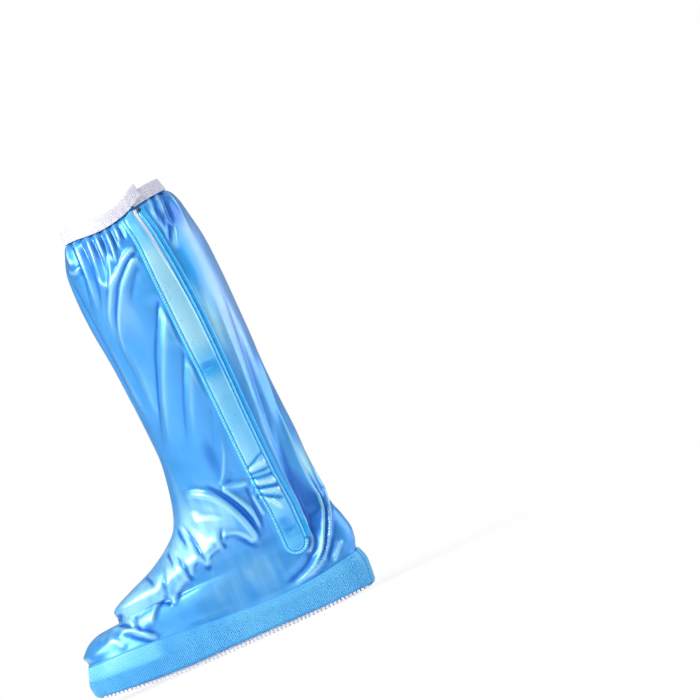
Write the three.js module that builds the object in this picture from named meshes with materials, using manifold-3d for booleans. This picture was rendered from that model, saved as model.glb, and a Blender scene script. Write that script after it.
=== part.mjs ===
// Knee-high waterproof cover worn over a left shoe: a hollow film boot with a textured band
// round its foot, a ribbed outsole, a gathered elastic top and a zipped closure on the outer side.
// Millimetres, +Z up, standing on z = 0. The toe points to -X and the outer side of the foot to -Y.

import * as THREE from "three";
import Module from "manifold-3d";
import { mergeVertices } from "three/addons/utils/BufferGeometryUtils.js";

/** Rows of a table as objects, from the names of its columns. A row's own name comes first. */
function namedRows(columns, rows) {
  return rows.map(([name, ...values]) => ({
    name,
    ...Object.fromEntries(columns.map((label, index) => [label, values[index]])),
  }));
}

// ---------------------------------------------------------------- driving dimensions

const FILM_WALL = 1.2;
const GAP = 0.35; // clearance between welded or sewn pieces
const STRIP_GAP = 0.55; // and under the closure's long strips
const NORMAL_STEP = 0.002; // step of the numerical surface derivatives

// The boot as rings that lean with the foot. Each ring runs from a front point to a back point of
// the side outline. back, middle and front are its half widths at those thirds, square is how boxy
// its ends are (1 is an ellipse), and swing leans the toe towards the inner side. sag drops its sides,
// most at its middle where skew is 1 and nearer the heel where skew is less. follow is how closely
// it keeps to the outsole's curve.
const RING_COLUMNS = [
  "frontX", "frontZ", "backX", "backZ", "back", "middle", "front", "square", "swing", "sag", "skew", "follow",
];
const RINGS = namedRows(RING_COLUMNS, [
  ["sole edge", -140.5, 12, 139.5, 6, 41, 44, 66, 0.66, 9, 0, 0.58, 1],
  ["band belly", -143.2, 23, 142, 27, 43, 46, 68, 0.67, 9, 5, 0.58, 0],
  ["band line", -137.5, 42, 139, 39.5, 40, 43, 64, 0.69, 9, 10, 0.58, 0],
  ["toe side", -139, 49, 142, 50, 39, 41, 60, 0.71, 9, 9, 0.6, 0],
  ["toe brow", -130.5, 59.5, 143, 60, 38, 39, 53, 0.75, 8, 7, 0.65, 0],
  ["toe top", -115, 65.8, 141, 71, 37, 37, 46, 0.79, 7, 4, 0.7, 0],
  ["toe crease", -95.5, 67.3, 138.5, 80, 37, 36, 39, 0.83, 6, 2, 0.8, 0],
  ["vamp edge", -96, 77.8, 136, 87, 37, 36, 37, 0.84, 5, 0, 1, 0],
  ["vamp", -73, 90.5, 134, 96, 38, 38, 34, 0.87, 3, 0, 1, 0],
  ["low instep", -45.6, 102, 132.3, 107, 39, 39, 32, 0.9, 1, 0, 1, 0],
  ["instep", -25.8, 114, 132, 117, 40, 41, 31, 0.93, 0, 0, 1, 0],
  ["high instep", -12.8, 126, 132.2, 128, 42, 43, 33, 0.95, 0, 0, 1, 0],
  ["ankle", -5.6, 142, 132.4, 142, 44, 46, 37, 0.97, 0, 0, 1, 0],
  ["low shin", -0.3, 166, 132.2, 166, 47, 49, 42, 1, 0, 0, 1, 0],
  ["shin", 3.6, 200, 131.2, 200, 50, 52, 46, 1, 0, 0, 1, 0],
  ["high shin", 1.8, 248, 129.8, 248, 53, 55, 50, 1, 0, 0, 1, 0],
  ["calf", -2.9, 302, 130.9, 303, 56, 58, 53, 1, 0, 1, 1, 0],
  ["high calf", -7, 354, 128.9, 356, 57, 59, 55, 1, 0, 3, 1, 0],
  ["shoulder", -5.5, 383, 125.3, 388, 55, 57, 53, 1, 0, 4, 1, 0],
  ["neck", -0.3, 402, 121.5, 410, 51, 53, 49, 1, 0, 5, 1.2, 0],
  ["gather", 3.4, 410.5, 116.5, 419.5, 47, 49, 46, 1, 0, 5.5, 1.3, 0],
  ["elastic foot", 7.3, 413.5, 110.3, 423.3, 43.5, 45.5, 42.5, 1, 0, 5.5, 1.4, 0],
  ["hem", 7.6, 420, 108.8, 429.5, 43, 45, 42, 1, 0, 6, 1.3, 0],
  ["top edge", 8.2, 427.7, 106.9, 436, 42.5, 44.5, 41.5, 1, 0, 6.5, 1.3, 0],
]);
const stationOf = (name) => RINGS.findIndex((ring) => ring.name === name);
const BAND_BELLY = stationOf("band belly");
const BAND_LINE = stationOf("band line");
const VAMP = stationOf("vamp");
const SHOULDER = stationOf("shoulder");
const ELASTIC_FOOT = stationOf("elastic foot");
const HEM = stationOf("hem"); // where the film ends, inside the elastic
const TOP_EDGE = stationOf("top edge");
const INNER_SAG = 0.55; // share of the sag that the inner side has
const SIDE_SHIFT = 1; // puts the boot and its closure in the middle of their width
const SEGMENTS = 48; // round the whole boot

// Main folds on each side, along a straight line seen from that side. rise is how far the film
// stands out (a dent is negative), and width is the half width of the fold.
const FOLDS = namedRows(["side", "fromX", "fromZ", "toX", "toZ", "rise", "width"], [
  ["ankle roll", "outer", 24, 142, 54, 92, 4, 8],
  ["ankle valley", "outer", 38, 146, 62, 96, -4, 6],
  ["pinch ridge", "outer", 60, 378, 24, 330, 3, 6],
  ["pinch valley", "outer", 58, 364, 34, 342, -2.5, 6],
  ["shin drape", "outer", 60, 320, 16, 216, 2.5, 7],
  ["shin valley", "outer", 48, 320, 8, 226, -2.5, 7],
  ["heel ridge", "outer", 128, 190, 124, 84, 2.5, 6],
  ["heel valley", "outer", 116, 170, 112, 80, -3, 7],
  ["toe dent", "outer", -92, 68, -70, 50, -2.5, 6],
  ["inner ankle roll", "inner", 2, 150, 70, 112, 4, 8],
  ["inner ankle valley", "inner", 10, 136, 78, 98, -4, 7],
  ["inner calf drape", "inner", 6, 350, 22, 200, 2.5, 8],
  ["inner heel drape", "inner", 118, 180, 84, 110, 3, 8],
  ["inner toe dent", "inner", -92, 68, -66, 52, -2.5, 6],
]);
const FOLD_FLOOR = { still: 44, free: 58 }; // folds grow between these heights, above the textured band
const FOLD_CLEAR = { still: 21, free: 30 }; // folds fade within these distances of the closure's middle
const FOLD_ASIDE = 14; // and within this distance of the front and back lines

// Gathers of the film under the elastic.
const GATHERS = { count: 16, rise: 2.4, length: 26, tuck: 5 };

// Textured band round the foot, and its lap over its own end at the heel.
const BAND_WALL = 1.3;
const LAP = { wall: 1.1, segments: 3, bottom: 0.1, top: 2.1 };

// Outsole: flat in the middle, rising at the toe and the heel, and thinner at its ends.
const TOE_SPRING = { start: -35, run: 110, rise: 9.8 };
const HEEL_SPRING = { start: 80, run: 65, rise: 3.2 };
const SPRING_POWER = 1.6;
const SOLE = { middle: 5.8, thinning: 3, halfLength: 140, outset: -0.6 };
const TREAD = { pitch: 8.2, bar: 5, depth: 1.3, from: -132, to: 132 };

// Elastic, with its free end lapped over the other end and lifted.
const ELASTIC = { wall: 1.5, clear: 1.5, steps: 48 };
const ELASTIC_LAP = { angle: 0.2, lift: 6, run: 0.36 };

// Closure on the outer side: the flap's middle and half width at each height.
const CLOSURE = [
  { height: 57.5, middle: 89.3, halfWidth: 12.2 },
  { height: 100, middle: 89.2, halfWidth: 12.3 },
  { height: 140, middle: 86.3, halfWidth: 12.4 },
  { height: 190, middle: 85.0, halfWidth: 12.4 },
  { height: 240, middle: 84.2, halfWidth: 12.8 },
  { height: 300, middle: 82.6, halfWidth: 13.4 },
  { height: 345, middle: 80.6, halfWidth: 12.8 },
  { height: 385, middle: 78.0, halfWidth: 11.2 },
  { height: 412, middle: 73.4, halfWidth: 10.8 },
];
const CLOSURE_DROP = 3.6; // from the elastic's lower edge to the closure's top
const CLOSURE_ROWS = 26;
const FLAP = { wall: 1.1, stand: 1.7 }; // its underside stands over the zip tape
const SEAM = { halfWidth: 1.6, height: 1.9, inset: 1.8 };
const TAPE = { halfWidth: 3.6, thickness: 0.7, leastShow: 0.4, topShow: 3.4, showShare: 0.32 };
const STRIP = { halfWidth: 1.9, thickness: 0.9 };
const STOP = { width: 3, height: 3.4, thickness: 2.2 };

// ---------------------------------------------------------------- shape of the boot

const mix = (a, b, share) => a + (b - a) * share;

/** 0 below low, 1 above high, and a smooth rise between. */
function ramp(value, low, high) {
  const share = Math.min(1, Math.max(0, (value - low) / (high - low)));
  return share * share * (3 - 2 * share);
}

/** Evenly spaced values from low to high, both included. */
function spread(low, high, count) {
  return Array.from({ length: count }, (_, index) => mix(low, high, index / (count - 1)));
}

/** Slope of a monotone curve at a row, from the steps before and after it. */
function rowSlope(before, after) {
  return before * after <= 0 ? 0 : (2 * before * after) / (before + after);
}

/** Value of a table's column at a fractional row, on a smooth curve that doesn't overshoot. */
function column(table, name, station) {
  const last = table.length - 1;
  const row = Math.min(last - 1, Math.max(0, Math.floor(station)));
  const share = station - row;
  const at = (index) => table[Math.min(last, Math.max(0, index))][name];
  const step = at(row + 1) - at(row);
  const slopeIn = row === 0 ? step : rowSlope(at(row) - at(row - 1), step);
  const slopeOut = row === last - 1 ? step : rowSlope(step, at(row + 2) - at(row + 1));
  const square = share * share;
  const cube = square * share;
  return (
    at(row) * (2 * cube - 3 * square + 1) + slopeIn * (cube - 2 * square + share) +
    at(row + 1) * (3 * square - 2 * cube) + slopeOut * (cube - square)
  );
}

/** The ring at a station, with every column interpolated. */
function ringAt(station) {
  return Object.fromEntries(RING_COLUMNS.map((name) => [name, column(RINGS, name, station)]));
}

/** Height of the outsole's underside. */
function soleBottom(x) {
  const toe = Math.max(0, (TOE_SPRING.start - x) / TOE_SPRING.run) ** SPRING_POWER * TOE_SPRING.rise;
  const heel = Math.max(0, (x - HEEL_SPRING.start) / HEEL_SPRING.run) ** SPRING_POWER * HEEL_SPRING.rise;
  return toe + heel;
}

/** Height of the boot's lower edge, where it stands on the outsole. */
function soleLine(x) {
  return soleBottom(x) + SOLE.middle - SOLE.thinning * (x / SOLE.halfLength) ** 2;
}

/** Height of a ring at a share of the way to its front, on the outer side or the inner one. */
function ringLevel(ring, toFront, side) {
  const chord = mix(ring.backZ, ring.frontZ, toFront);
  const drop = ring.sag * (side === "outer" ? 1 : INNER_SAG) * Math.sin(Math.PI * toFront ** ring.skew) ** 2;
  return mix(chord - drop, soleLine(mix(ring.backX, ring.frontX, toFront)), ring.follow);
}

/** A point of the smooth boot. angle 0 is the back, pi the front, and the outer side comes first. */
function bootPoint(station, angle) {
  const ring = ringAt(station);
  const toFront = (1 - Math.cos(angle)) / 2;
  const across = Math.sin(angle);
  const fromMiddle = 2 * toFront - 1;
  const half =
    ring.middle +
    ((ring.front - ring.back) / 2) * fromMiddle +
    ((ring.front + ring.back) / 2 - ring.middle) * fromMiddle ** 2;
  const width = half * Math.sign(across) * Math.abs(across) ** ring.square;
  return new THREE.Vector3(
    mix(ring.backX, ring.frontX, toFront),
    SIDE_SHIFT + ring.swing * toFront ** 2 - width,
    ringLevel(ring, toFront, across > 0 ? "outer" : "inner"),
  );
}

/** Outward normal of the smooth boot. */
function bootNormal(station, angle) {
  const up = bootPoint(station + NORMAL_STEP, angle).sub(bootPoint(station - NORMAL_STEP, angle));
  const round = bootPoint(station, angle + NORMAL_STEP).sub(bootPoint(station, angle - NORMAL_STEP));
  return up.cross(round).normalize();
}

/** The smooth boot moved out along its normal. */
function offsetPoint(station, angle, distance) {
  return bootPoint(station, angle).addScaledVector(bootNormal(station, angle), distance);
}

/** Angle of the outer side's point of a ring at x. */
function outerAngle(ring, x) {
  const toFront = Math.min(1, Math.max(0, (ring.backX - x) / (ring.backX - ring.frontX)));
  return Math.acos(1 - 2 * toFront);
}

/** Point, outward normal and upward direction of the outer side as seen at x, z. */
function outerFrame(x, z) {
  let low = 0;
  let high = TOP_EDGE;
  for (let turn = 0; turn < 40; turn += 1) {
    const station = (low + high) / 2;
    if (bootPoint(station, outerAngle(ringAt(station), x)).z < z) low = station;
    else high = station;
  }
  const station = (low + high) / 2;
  const angle = outerAngle(ringAt(station), x);
  const normal = bootNormal(station, angle);
  const up = new THREE.Vector3(0, 0, 1).addScaledVector(normal, -normal.z).normalize();
  return { point: bootPoint(station, angle), normal, up };
}

/** Closure's middle and half width at a height. */
function closureAt(height) {
  const last = CLOSURE.length - 1;
  const clamped = Math.min(CLOSURE[last].height, Math.max(CLOSURE[0].height, height));
  const row = Math.min(last - 1, CLOSURE.findLastIndex((entry) => entry.height <= clamped));
  const station = row + (clamped - CLOSURE[row].height) / (CLOSURE[row + 1].height - CLOSURE[row].height);
  return { middle: column(CLOSURE, "middle", station), halfWidth: column(CLOSURE, "halfWidth", station) };
}

/** How freely the film folds at a point: 0 under the closure, 1 well away from it. */
function awayFromClosure(point) {
  if (point.y > 0) return 1;
  const beside = point.x - closureAt(point.z).middle;
  const below = Math.max(0, CLOSURE[0].height + CLOSURE[0].halfWidth - point.z);
  return ramp(Math.hypot(beside, below), FOLD_CLEAR.still, FOLD_CLEAR.free);
}

/** How far the folds push the film out at a point of one side. */
function foldRise(point) {
  const side = point.y < 0 ? "outer" : "inner";
  let rise = 0;
  for (const fold of FOLDS.filter((entry) => entry.side === side)) {
    const alongX = fold.toX - fold.fromX;
    const alongZ = fold.toZ - fold.fromZ;
    const square = alongX ** 2 + alongZ ** 2;
    const share = ((point.x - fold.fromX) * alongX + (point.z - fold.fromZ) * alongZ) / square;
    const along = Math.min(1, Math.max(0, share));
    const gapX = point.x - fold.fromX - along * alongX;
    const gapZ = point.z - fold.fromZ - along * alongZ;
    rise += fold.rise * Math.exp(-(gapX ** 2 + gapZ ** 2) / fold.width ** 2);
  }
  const aside = Math.min(1, Math.abs(point.y) / FOLD_ASIDE);
  return rise * aside * ramp(point.z, FOLD_FLOOR.still, FOLD_FLOOR.free);
}

/** How far the gathers push the film out at a point, from its depth below the elastic. */
function gatherRise(point, angle) {
  const depth = bootPoint(ELASTIC_FOOT, angle).z - point.z;
  const fade = Math.exp(-Math.max(0, depth) / GATHERS.length);
  return GATHERS.rise * Math.cos(GATHERS.count * angle) * fade * ramp(depth, -1, GATHERS.tuck);
}

/** A point of the folded film, moved out along the smooth boot's normal. */
function filmPoint(station, angle, distance) {
  const point = bootPoint(station, angle);
  const rise = (foldRise(point) + gatherRise(point, angle)) * awayFromClosure(point);
  return point.addScaledVector(bootNormal(station, angle), rise + distance);
}

// ---------------------------------------------------------------- solids

/** Closed wall between two grids of points. A wrapped grid joins its last column to its first. */
function wall(outer, inner, wrapped) {
  const rows = outer.length;
  const columns = outer[0].length;
  const positions = [...outer.flat(), ...inner.flat()].flatMap((point) => [point.x, point.y, point.z]);
  const outside = (row, col) => row * columns + (col % columns);
  const inside = (row, col) => rows * columns + outside(row, col);
  const index = [];
  const quad = (a, b, c, d) => index.push(a, b, c, a, c, d);
  const spans = wrapped ? columns : columns - 1;
  for (let col = 0; col < spans; col += 1) {
    for (let row = 0; row < rows - 1; row += 1) {
      quad(outside(row, col), outside(row + 1, col), outside(row + 1, col + 1), outside(row, col + 1));
      quad(inside(row, col), inside(row, col + 1), inside(row + 1, col + 1), inside(row + 1, col));
    }
    const top = rows - 1;
    quad(outside(0, col), outside(0, col + 1), inside(0, col + 1), inside(0, col));
    quad(outside(top, col), inside(top, col), inside(top, col + 1), outside(top, col + 1));
  }
  if (!wrapped) {
    const end = columns - 1;
    for (let row = 0; row < rows - 1; row += 1) {
      quad(outside(row, 0), inside(row, 0), inside(row + 1, 0), outside(row + 1, 0));
      quad(outside(row, end), outside(row + 1, end), inside(row + 1, end), inside(row, end));
    }
  }
  const geometry = new THREE.BufferGeometry();
  geometry.setAttribute("position", new THREE.Float32BufferAttribute(positions, 3));
  geometry.setIndex(index);
  return geometry;
}

/** Closed wall from a function of row, column and side (0 outer, 1 inner). */
function wallFrom(rowValues, columnValues, pointAt, wrapped) {
  const grid = (side) => rowValues.map((row) => columnValues.map((col) => pointAt(row, col, side)));
  return wall(grid(0), grid(1), wrapped);
}

/** Angles of a whole ring, without its closing one. */
function ringAngles() {
  return spread(0, 2 * Math.PI, SEGMENTS + 1).slice(0, SEGMENTS);
}

/** Strip of solid laid on the outer side along a line of x, z places, from its section. */
function stripOnSide(line, section) {
  const sections = line.map((place, index) => {
    const { point, normal } = outerFrame(place.x, place.z);
    const next = line[Math.min(line.length - 1, index + 1)];
    const last = line[Math.max(0, index - 1)];
    const along = outerFrame(next.x, next.z).point.sub(outerFrame(last.x, last.z).point).normalize();
    const across = along.clone().cross(normal).normalize();
    return section.map(([beside, above]) =>
      point.clone().addScaledVector(across, beside).addScaledVector(normal, above));
  });
  return loft(sections);
}

/** Closed solid through sections with the same number of points, capped at both ends. */
function loft(sections) {
  const size = sections[0].length;
  const positions = sections.flat().flatMap((point) => [point.x, point.y, point.z]);
  const index = [];
  for (let step = 0; step < sections.length - 1; step += 1) {
    for (let corner = 0; corner < size; corner += 1) {
      const a = step * size + corner;
      const b = step * size + ((corner + 1) % size);
      index.push(a, b, b + size, a, b + size, a + size);
    }
  }
  const end = (sections.length - 1) * size;
  for (let corner = 1; corner < size - 1; corner += 1) {
    index.push(0, corner + 1, corner);
    index.push(end, end + corner, end + corner + 1);
  }
  const geometry = new THREE.BufferGeometry();
  geometry.setAttribute("position", new THREE.Float32BufferAttribute(positions, 3));
  geometry.setIndex(index);
  return geometry;
}

/** Signed volume of a closed geometry. */
function volumeOf(geometry) {
  const at = geometry.getAttribute("position");
  const index = geometry.getIndex().array;
  const corner = (place) => new THREE.Vector3().fromBufferAttribute(at, index[place]);
  let six = 0;
  for (let place = 0; place < index.length; place += 3) {
    six += corner(place).dot(corner(place + 1).cross(corner(place + 2)));
  }
  return six / 6;
}

/** The geometry with its faces pointing out. */
function facingOut(geometry) {
  if (volumeOf(geometry) < 0) {
    const index = geometry.getIndex().array;
    for (let place = 0; place < index.length; place += 3) {
      [index[place], index[place + 1]] = [index[place + 1], index[place]];
    }
  }
  return geometry;
}

// ---------------------------------------------------------------- pieces

/** Film boot: leg, ankle and foot in one wall, open at the top and over the outsole. */
function makeFilmBoot() {
  const foot = spread(0, VAMP, VAMP + 1);
  const leg = spread(VAMP, SHOULDER, 2 * (SHOULDER - VAMP) + 1).slice(1);
  const top = spread(SHOULDER, ELASTIC_FOOT, 2 * (ELASTIC_FOOT - SHOULDER) + 1).slice(1);
  return wallFrom([...foot, ...leg, ...top, HEM], ringAngles(),
    (station, angle, side) => filmPoint(station, angle, -side * FILM_WALL), true);
}

/** Textured band welded round the foot, over the film. */
function makeFoxingBand() {
  return wallFrom([0, BAND_BELLY, BAND_LINE], ringAngles(),
    (station, angle, side) => offsetPoint(station, angle, GAP + (side ? 0 : BAND_WALL)), true);
}

/** Lap of the textured band over its own end at the heel. */
function makeHeelLap() {
  const halfAngle = (LAP.segments * 2 * Math.PI) / SEGMENTS;
  const base = GAP + BAND_WALL + GAP;
  const angles = spread(-halfAngle, halfAngle, 2 * LAP.segments + 1);
  return wallFrom([LAP.bottom, BAND_BELLY, BAND_LINE, LAP.top], angles,
    (station, angle, side) => offsetPoint(station, angle, base + (side ? 0 : LAP.wall)), false);
}

/** Side profile of the outsole, with a groove after each tread bar. */
function soleProfile(reach) {
  const shape = new THREE.Shape();
  shape.moveTo(-reach, soleBottom(-reach) + TREAD.depth);
  for (let x = TREAD.from; x < TREAD.to; x += TREAD.pitch) {
    const barEnd = x + TREAD.bar;
    const level = Math.min(soleBottom(x), soleBottom(barEnd));
    const roof = level + TREAD.depth;
    shape.lineTo(x, roof);
    shape.lineTo(x, level);
    shape.lineTo(barEnd, level);
    shape.lineTo(barEnd, roof);
  }
  shape.lineTo(reach, soleBottom(reach) + TREAD.depth);
  for (const x of spread(reach, -reach, 31)) shape.lineTo(x, soleLine(x) - GAP);
  shape.closePath();
  return shape;
}

/** Manifold solid from a three.js geometry. */
function toSolid(wasm, geometry) {
  const bare = geometry.clone();
  bare.deleteAttribute("normal");
  bare.deleteAttribute("uv");
  const merged = mergeVertices(bare);
  return new wasm.Manifold(new wasm.Mesh({
    numProp: 3,
    vertProperties: new Float32Array(merged.getAttribute("position").array),
    triVerts: new Uint32Array(merged.getIndex().array),
  }));
}

/** three.js geometry from a manifold solid. */
function toGeometry(solid) {
  const mesh = solid.getMesh();
  const geometry = new THREE.BufferGeometry();
  geometry.setAttribute("position", new THREE.BufferAttribute(new Float32Array(mesh.vertProperties), 3));
  geometry.setIndex(Array.from(mesh.triVerts));
  return geometry;
}

/** Outsole: the boot's plan outline, cut to the ribbed side profile. */
function makeOutsole(wasm) {
  const outline = ringAngles().map((angle) => {
    const point = offsetPoint(0, angle, SOLE.outset);
    return new THREE.Vector2(point.x, point.y);
  });
  const height = 60;
  const width = 160;
  const plan = new THREE.ExtrudeGeometry(new THREE.Shape(outline), { depth: height, bevelEnabled: false });
  plan.translate(0, 0, -height / 2);
  const profile = soleProfile(SOLE.halfLength + 5);
  const side = new THREE.ExtrudeGeometry(profile, { depth: width, bevelEnabled: false });
  side.rotateX(Math.PI / 2);
  side.translate(0, width / 2, 0);
  return toGeometry(toSolid(wasm, plan).intersect(toSolid(wasm, side)));
}

/** Elastic: one strip round the top, its free end lapped over the other and lifted. */
function makeElastic() {
  const lapX = CLOSURE[CLOSURE.length - 1].middle + CLOSURE[0].halfWidth;
  const start = outerAngle(RINGS[TOP_EDGE], lapX) + ELASTIC_LAP.angle;
  const end = start - 2 * Math.PI - ELASTIC_LAP.angle;
  const angles = spread(end, start, ELASTIC.steps);
  return wallFrom(spread(ELASTIC_FOOT, TOP_EDGE, 3), angles, (station, angle, side) => {
    const past = end + ELASTIC_LAP.angle - angle;
    const over = ramp(past, -ELASTIC_LAP.run, 0) * (ELASTIC.wall + GAP);
    const lift = ELASTIC_LAP.lift * ramp(past, -ELASTIC_LAP.run, ELASTIC_LAP.angle) ** 2;
    const outward = bootNormal((HEM + TOP_EDGE) / 2, angle).setZ(0).normalize();
    const distance = ELASTIC.clear + over + (side ? 0 : ELASTIC.wall);
    return bootPoint(station, angle).addScaledVector(outward, distance).add(new THREE.Vector3(0, 0, lift));
  }, false);
}

/** Height where the closure's straight sides turn into its round lower end. */
const TURN_HEIGHT = CLOSURE[0].height + CLOSURE[0].halfWidth;
const TURN_RUN = 60; // height over which the round end's width grows into the table's

/** Highest place of the closure at x, under the elastic. */
function closureTop(x) {
  return bootPoint(ELASTIC_FOOT, outerAngle(RINGS[ELASTIC_FOOT], x)).z - CLOSURE_DROP;
}

/** Shares of the way up the closure's straight sides, closer together at both ends. */
function closureShares() {
  return spread(0, Math.PI, CLOSURE_ROWS).map((turn) => (1 - Math.cos(turn)) / 2);
}

/** x, z place at a share of the way up, inset from the front edge (way -1) or the rear edge (way 1). */
function closureSide(share, inset, way) {
  const top = closureTop(CLOSURE[CLOSURE.length - 1].middle + way * CLOSURE[0].halfWidth);
  const height = mix(TURN_HEIGHT, top, share);
  const { middle, halfWidth } = closureAt(height);
  const half = mix(CLOSURE[0].halfWidth, halfWidth, ramp(height, TURN_HEIGHT, TURN_HEIGHT + TURN_RUN));
  return { x: middle + way * (half - inset), z: height };
}

/** x, z places round the closure's lower end, from its front edge to its rear edge. */
function closureArc(inset) {
  const radius = CLOSURE[0].halfWidth - inset;
  const { middle } = closureAt(TURN_HEIGHT);
  return spread(Math.PI, 2 * Math.PI, 9).slice(1, -1).map((turn) => ({
    x: middle + radius * Math.cos(turn),
    z: TURN_HEIGHT + radius * Math.sin(turn),
  }));
}

/** How far the flap's rear edge draws back from the zip, more towards the top. */
function tapeShow(share) {
  return TAPE.leastShow + TAPE.topShow * ramp(share, 1 - TAPE.showShare, 1);
}

/** Flap of the closure: a long panel with a round lower end, standing over the zip tape. */
function makeFlap() {
  const inset = SEAM.inset + SEAM.halfWidth + GAP;
  const radius = CLOSURE[0].halfWidth - inset;
  const { middle } = closureAt(TURN_HEIGHT);
  const roundRows = spread(0.2, Math.PI / 2, 6).slice(0, -1).map((turn) => ({
    front: { x: middle - radius * Math.sin(turn), z: TURN_HEIGHT - radius * Math.cos(turn) },
    rear: { x: middle + radius * Math.sin(turn), z: TURN_HEIGHT - radius * Math.cos(turn) },
  }));
  const straightRows = closureShares().map((share) => ({
    front: closureSide(share, inset, -1),
    rear: closureSide(share, inset + tapeShow(share), 1),
  }));
  return wallFrom([...roundRows, ...straightRows], spread(0, 1, 4), ({ front, rear }, across, side) => {
    const { point, normal } = outerFrame(mix(rear.x, front.x, across), mix(rear.z, front.z, across));
    return point.addScaledVector(normal, FLAP.stand + (side ? 0 : FLAP.wall));
  }, false);
}

/** Half-round section of a bead that lies on the film. */
function beadSection() {
  return spread(0, Math.PI, 5).map((turn) =>
    [SEAM.halfWidth * Math.cos(turn), STRIP_GAP + SEAM.height * Math.sin(turn)]);
}

/** Flat section of a strip that lies on the film. */
function stripSection(halfWidth, thickness) {
  const top = STRIP_GAP + thickness;
  return [[halfWidth, STRIP_GAP], [halfWidth, top], [-halfWidth, top], [-halfWidth, STRIP_GAP]];
}

/** Welded bead down the flap's front edge and round its lower end. */
function makeFlapSeam() {
  const front = closureShares().reverse().map((share) => closureSide(share, SEAM.inset, -1));
  return stripOnSide([...front, ...closureArc(SEAM.inset)], beadSection());
}

/** Ridge of the closed zip, up the flap's rear edge to the stop. */
function makeZipRidge() {
  const line = closureShares().slice(1, -2).map((share) => closureSide(share, SEAM.inset, 1));
  return stripOnSide(line, beadSection());
}

/** Zip tape under the flap's rear edge, showing beside the ridge at the top. */
function makeZipTape() {
  const inset = SEAM.inset + SEAM.halfWidth + GAP + TAPE.halfWidth;
  const line = closureShares().slice(3).map((share) => closureSide(share, inset, 1));
  return stripOnSide(line, stripSection(TAPE.halfWidth, TAPE.thickness));
}

/** Welded film strip on the rear side of the zip. */
function makeRearStrip() {
  const inset = SEAM.inset - SEAM.halfWidth - GAP - STRIP.halfWidth;
  const line = closureShares().map((share) => closureSide(share, inset, 1));
  return stripOnSide(line, stripSection(STRIP.halfWidth, STRIP.thickness));
}

/** Small dark stop at the upper end of the zip ridge. */
function makeZipStop() {
  const end = closureSide(1, SEAM.inset, 1);
  const { point, normal, up } = outerFrame(end.x, end.z - STOP.height / 2);
  const block = new THREE.BoxGeometry(STOP.width, STOP.height, STOP.thickness);
  block.applyMatrix4(new THREE.Matrix4().makeBasis(up.clone().cross(normal), up, normal));
  const centre = point.addScaledVector(normal, STRIP_GAP + GAP + STOP.thickness / 2);
  block.translate(centre.x, centre.y, centre.z);
  return block;
}

// ---------------------------------------------------------------- assembly

const MATERIALS = {
  film: { color: 0x4aa3f0, roughness: 0.28, metalness: 0.15 },
  texturedFilm: { color: 0x56b4f4, roughness: 0.45, metalness: 0.05 },
  sole: { color: 0xeceaf2, roughness: 0.55, metalness: 0 },
  elastic: { color: 0xf4f3f8, roughness: 0.9, metalness: 0 },
  flap: { color: 0x6cc9fa, roughness: 0.25, metalness: 0.15 },
  zipTape: { color: 0xf6f8fc, roughness: 0.8, metalness: 0 },
  stop: { color: 0x6e6470, roughness: 0.35, metalness: 0.7 },
};

function addPiece(group, name, geometry, finish) {
  const mesh = new THREE.Mesh(facingOut(geometry), new THREE.MeshStandardMaterial(MATERIALS[finish]));
  mesh.name = name;
  group.add(mesh);
}

const wasm = await Module();
wasm.setup();

const cover = new THREE.Group();
addPiece(cover, "film_boot", makeFilmBoot(), "film");
addPiece(cover, "foxing_band", makeFoxingBand(), "texturedFilm");
addPiece(cover, "heel_lap", makeHeelLap(), "texturedFilm");
addPiece(cover, "outsole", makeOutsole(wasm), "sole");
addPiece(cover, "elastic_band", makeElastic(), "elastic");
addPiece(cover, "closure_flap", makeFlap(), "flap");
addPiece(cover, "flap_seam", makeFlapSeam(), "film");
addPiece(cover, "zip_tape", makeZipTape(), "zipTape");
addPiece(cover, "zip_ridge", makeZipRidge(), "film");
addPiece(cover, "rear_strip", makeRearStrip(), "film");
addPiece(cover, "zip_stop", makeZipStop(), "stop");

export default cover;
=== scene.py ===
"""Knee-high waterproof shoe cover for a left foot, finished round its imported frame.

The toe points to -X and the outer side of the foot to -Y. Tables are in millimetres, meshes in metres.
"""

import logging
import math
from collections.abc import Iterable
from dataclasses import dataclass
from enum import Enum

import bpy
import numpy as np
from mathutils import Matrix, Vector


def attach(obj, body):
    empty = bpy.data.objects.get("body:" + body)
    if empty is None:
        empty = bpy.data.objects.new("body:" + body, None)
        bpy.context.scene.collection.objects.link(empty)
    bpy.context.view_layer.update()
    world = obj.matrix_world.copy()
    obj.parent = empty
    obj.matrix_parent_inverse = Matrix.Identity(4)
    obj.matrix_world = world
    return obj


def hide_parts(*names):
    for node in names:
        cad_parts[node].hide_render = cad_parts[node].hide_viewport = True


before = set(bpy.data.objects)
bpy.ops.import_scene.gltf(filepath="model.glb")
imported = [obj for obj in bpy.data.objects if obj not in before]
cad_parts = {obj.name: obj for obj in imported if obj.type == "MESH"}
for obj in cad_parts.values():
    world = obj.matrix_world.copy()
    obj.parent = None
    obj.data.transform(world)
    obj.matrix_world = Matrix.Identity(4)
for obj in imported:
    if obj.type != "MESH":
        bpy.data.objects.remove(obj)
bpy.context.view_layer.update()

Array = np.ndarray
Piece = bpy.types.Object
Material = bpy.types.Material
Socket = bpy.types.NodeSocket
BODY = "root"
MM = 0.001
SEED = 7
log = logging.getLogger("shoe_cover")


# ------------------------ shape of the boot

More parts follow.
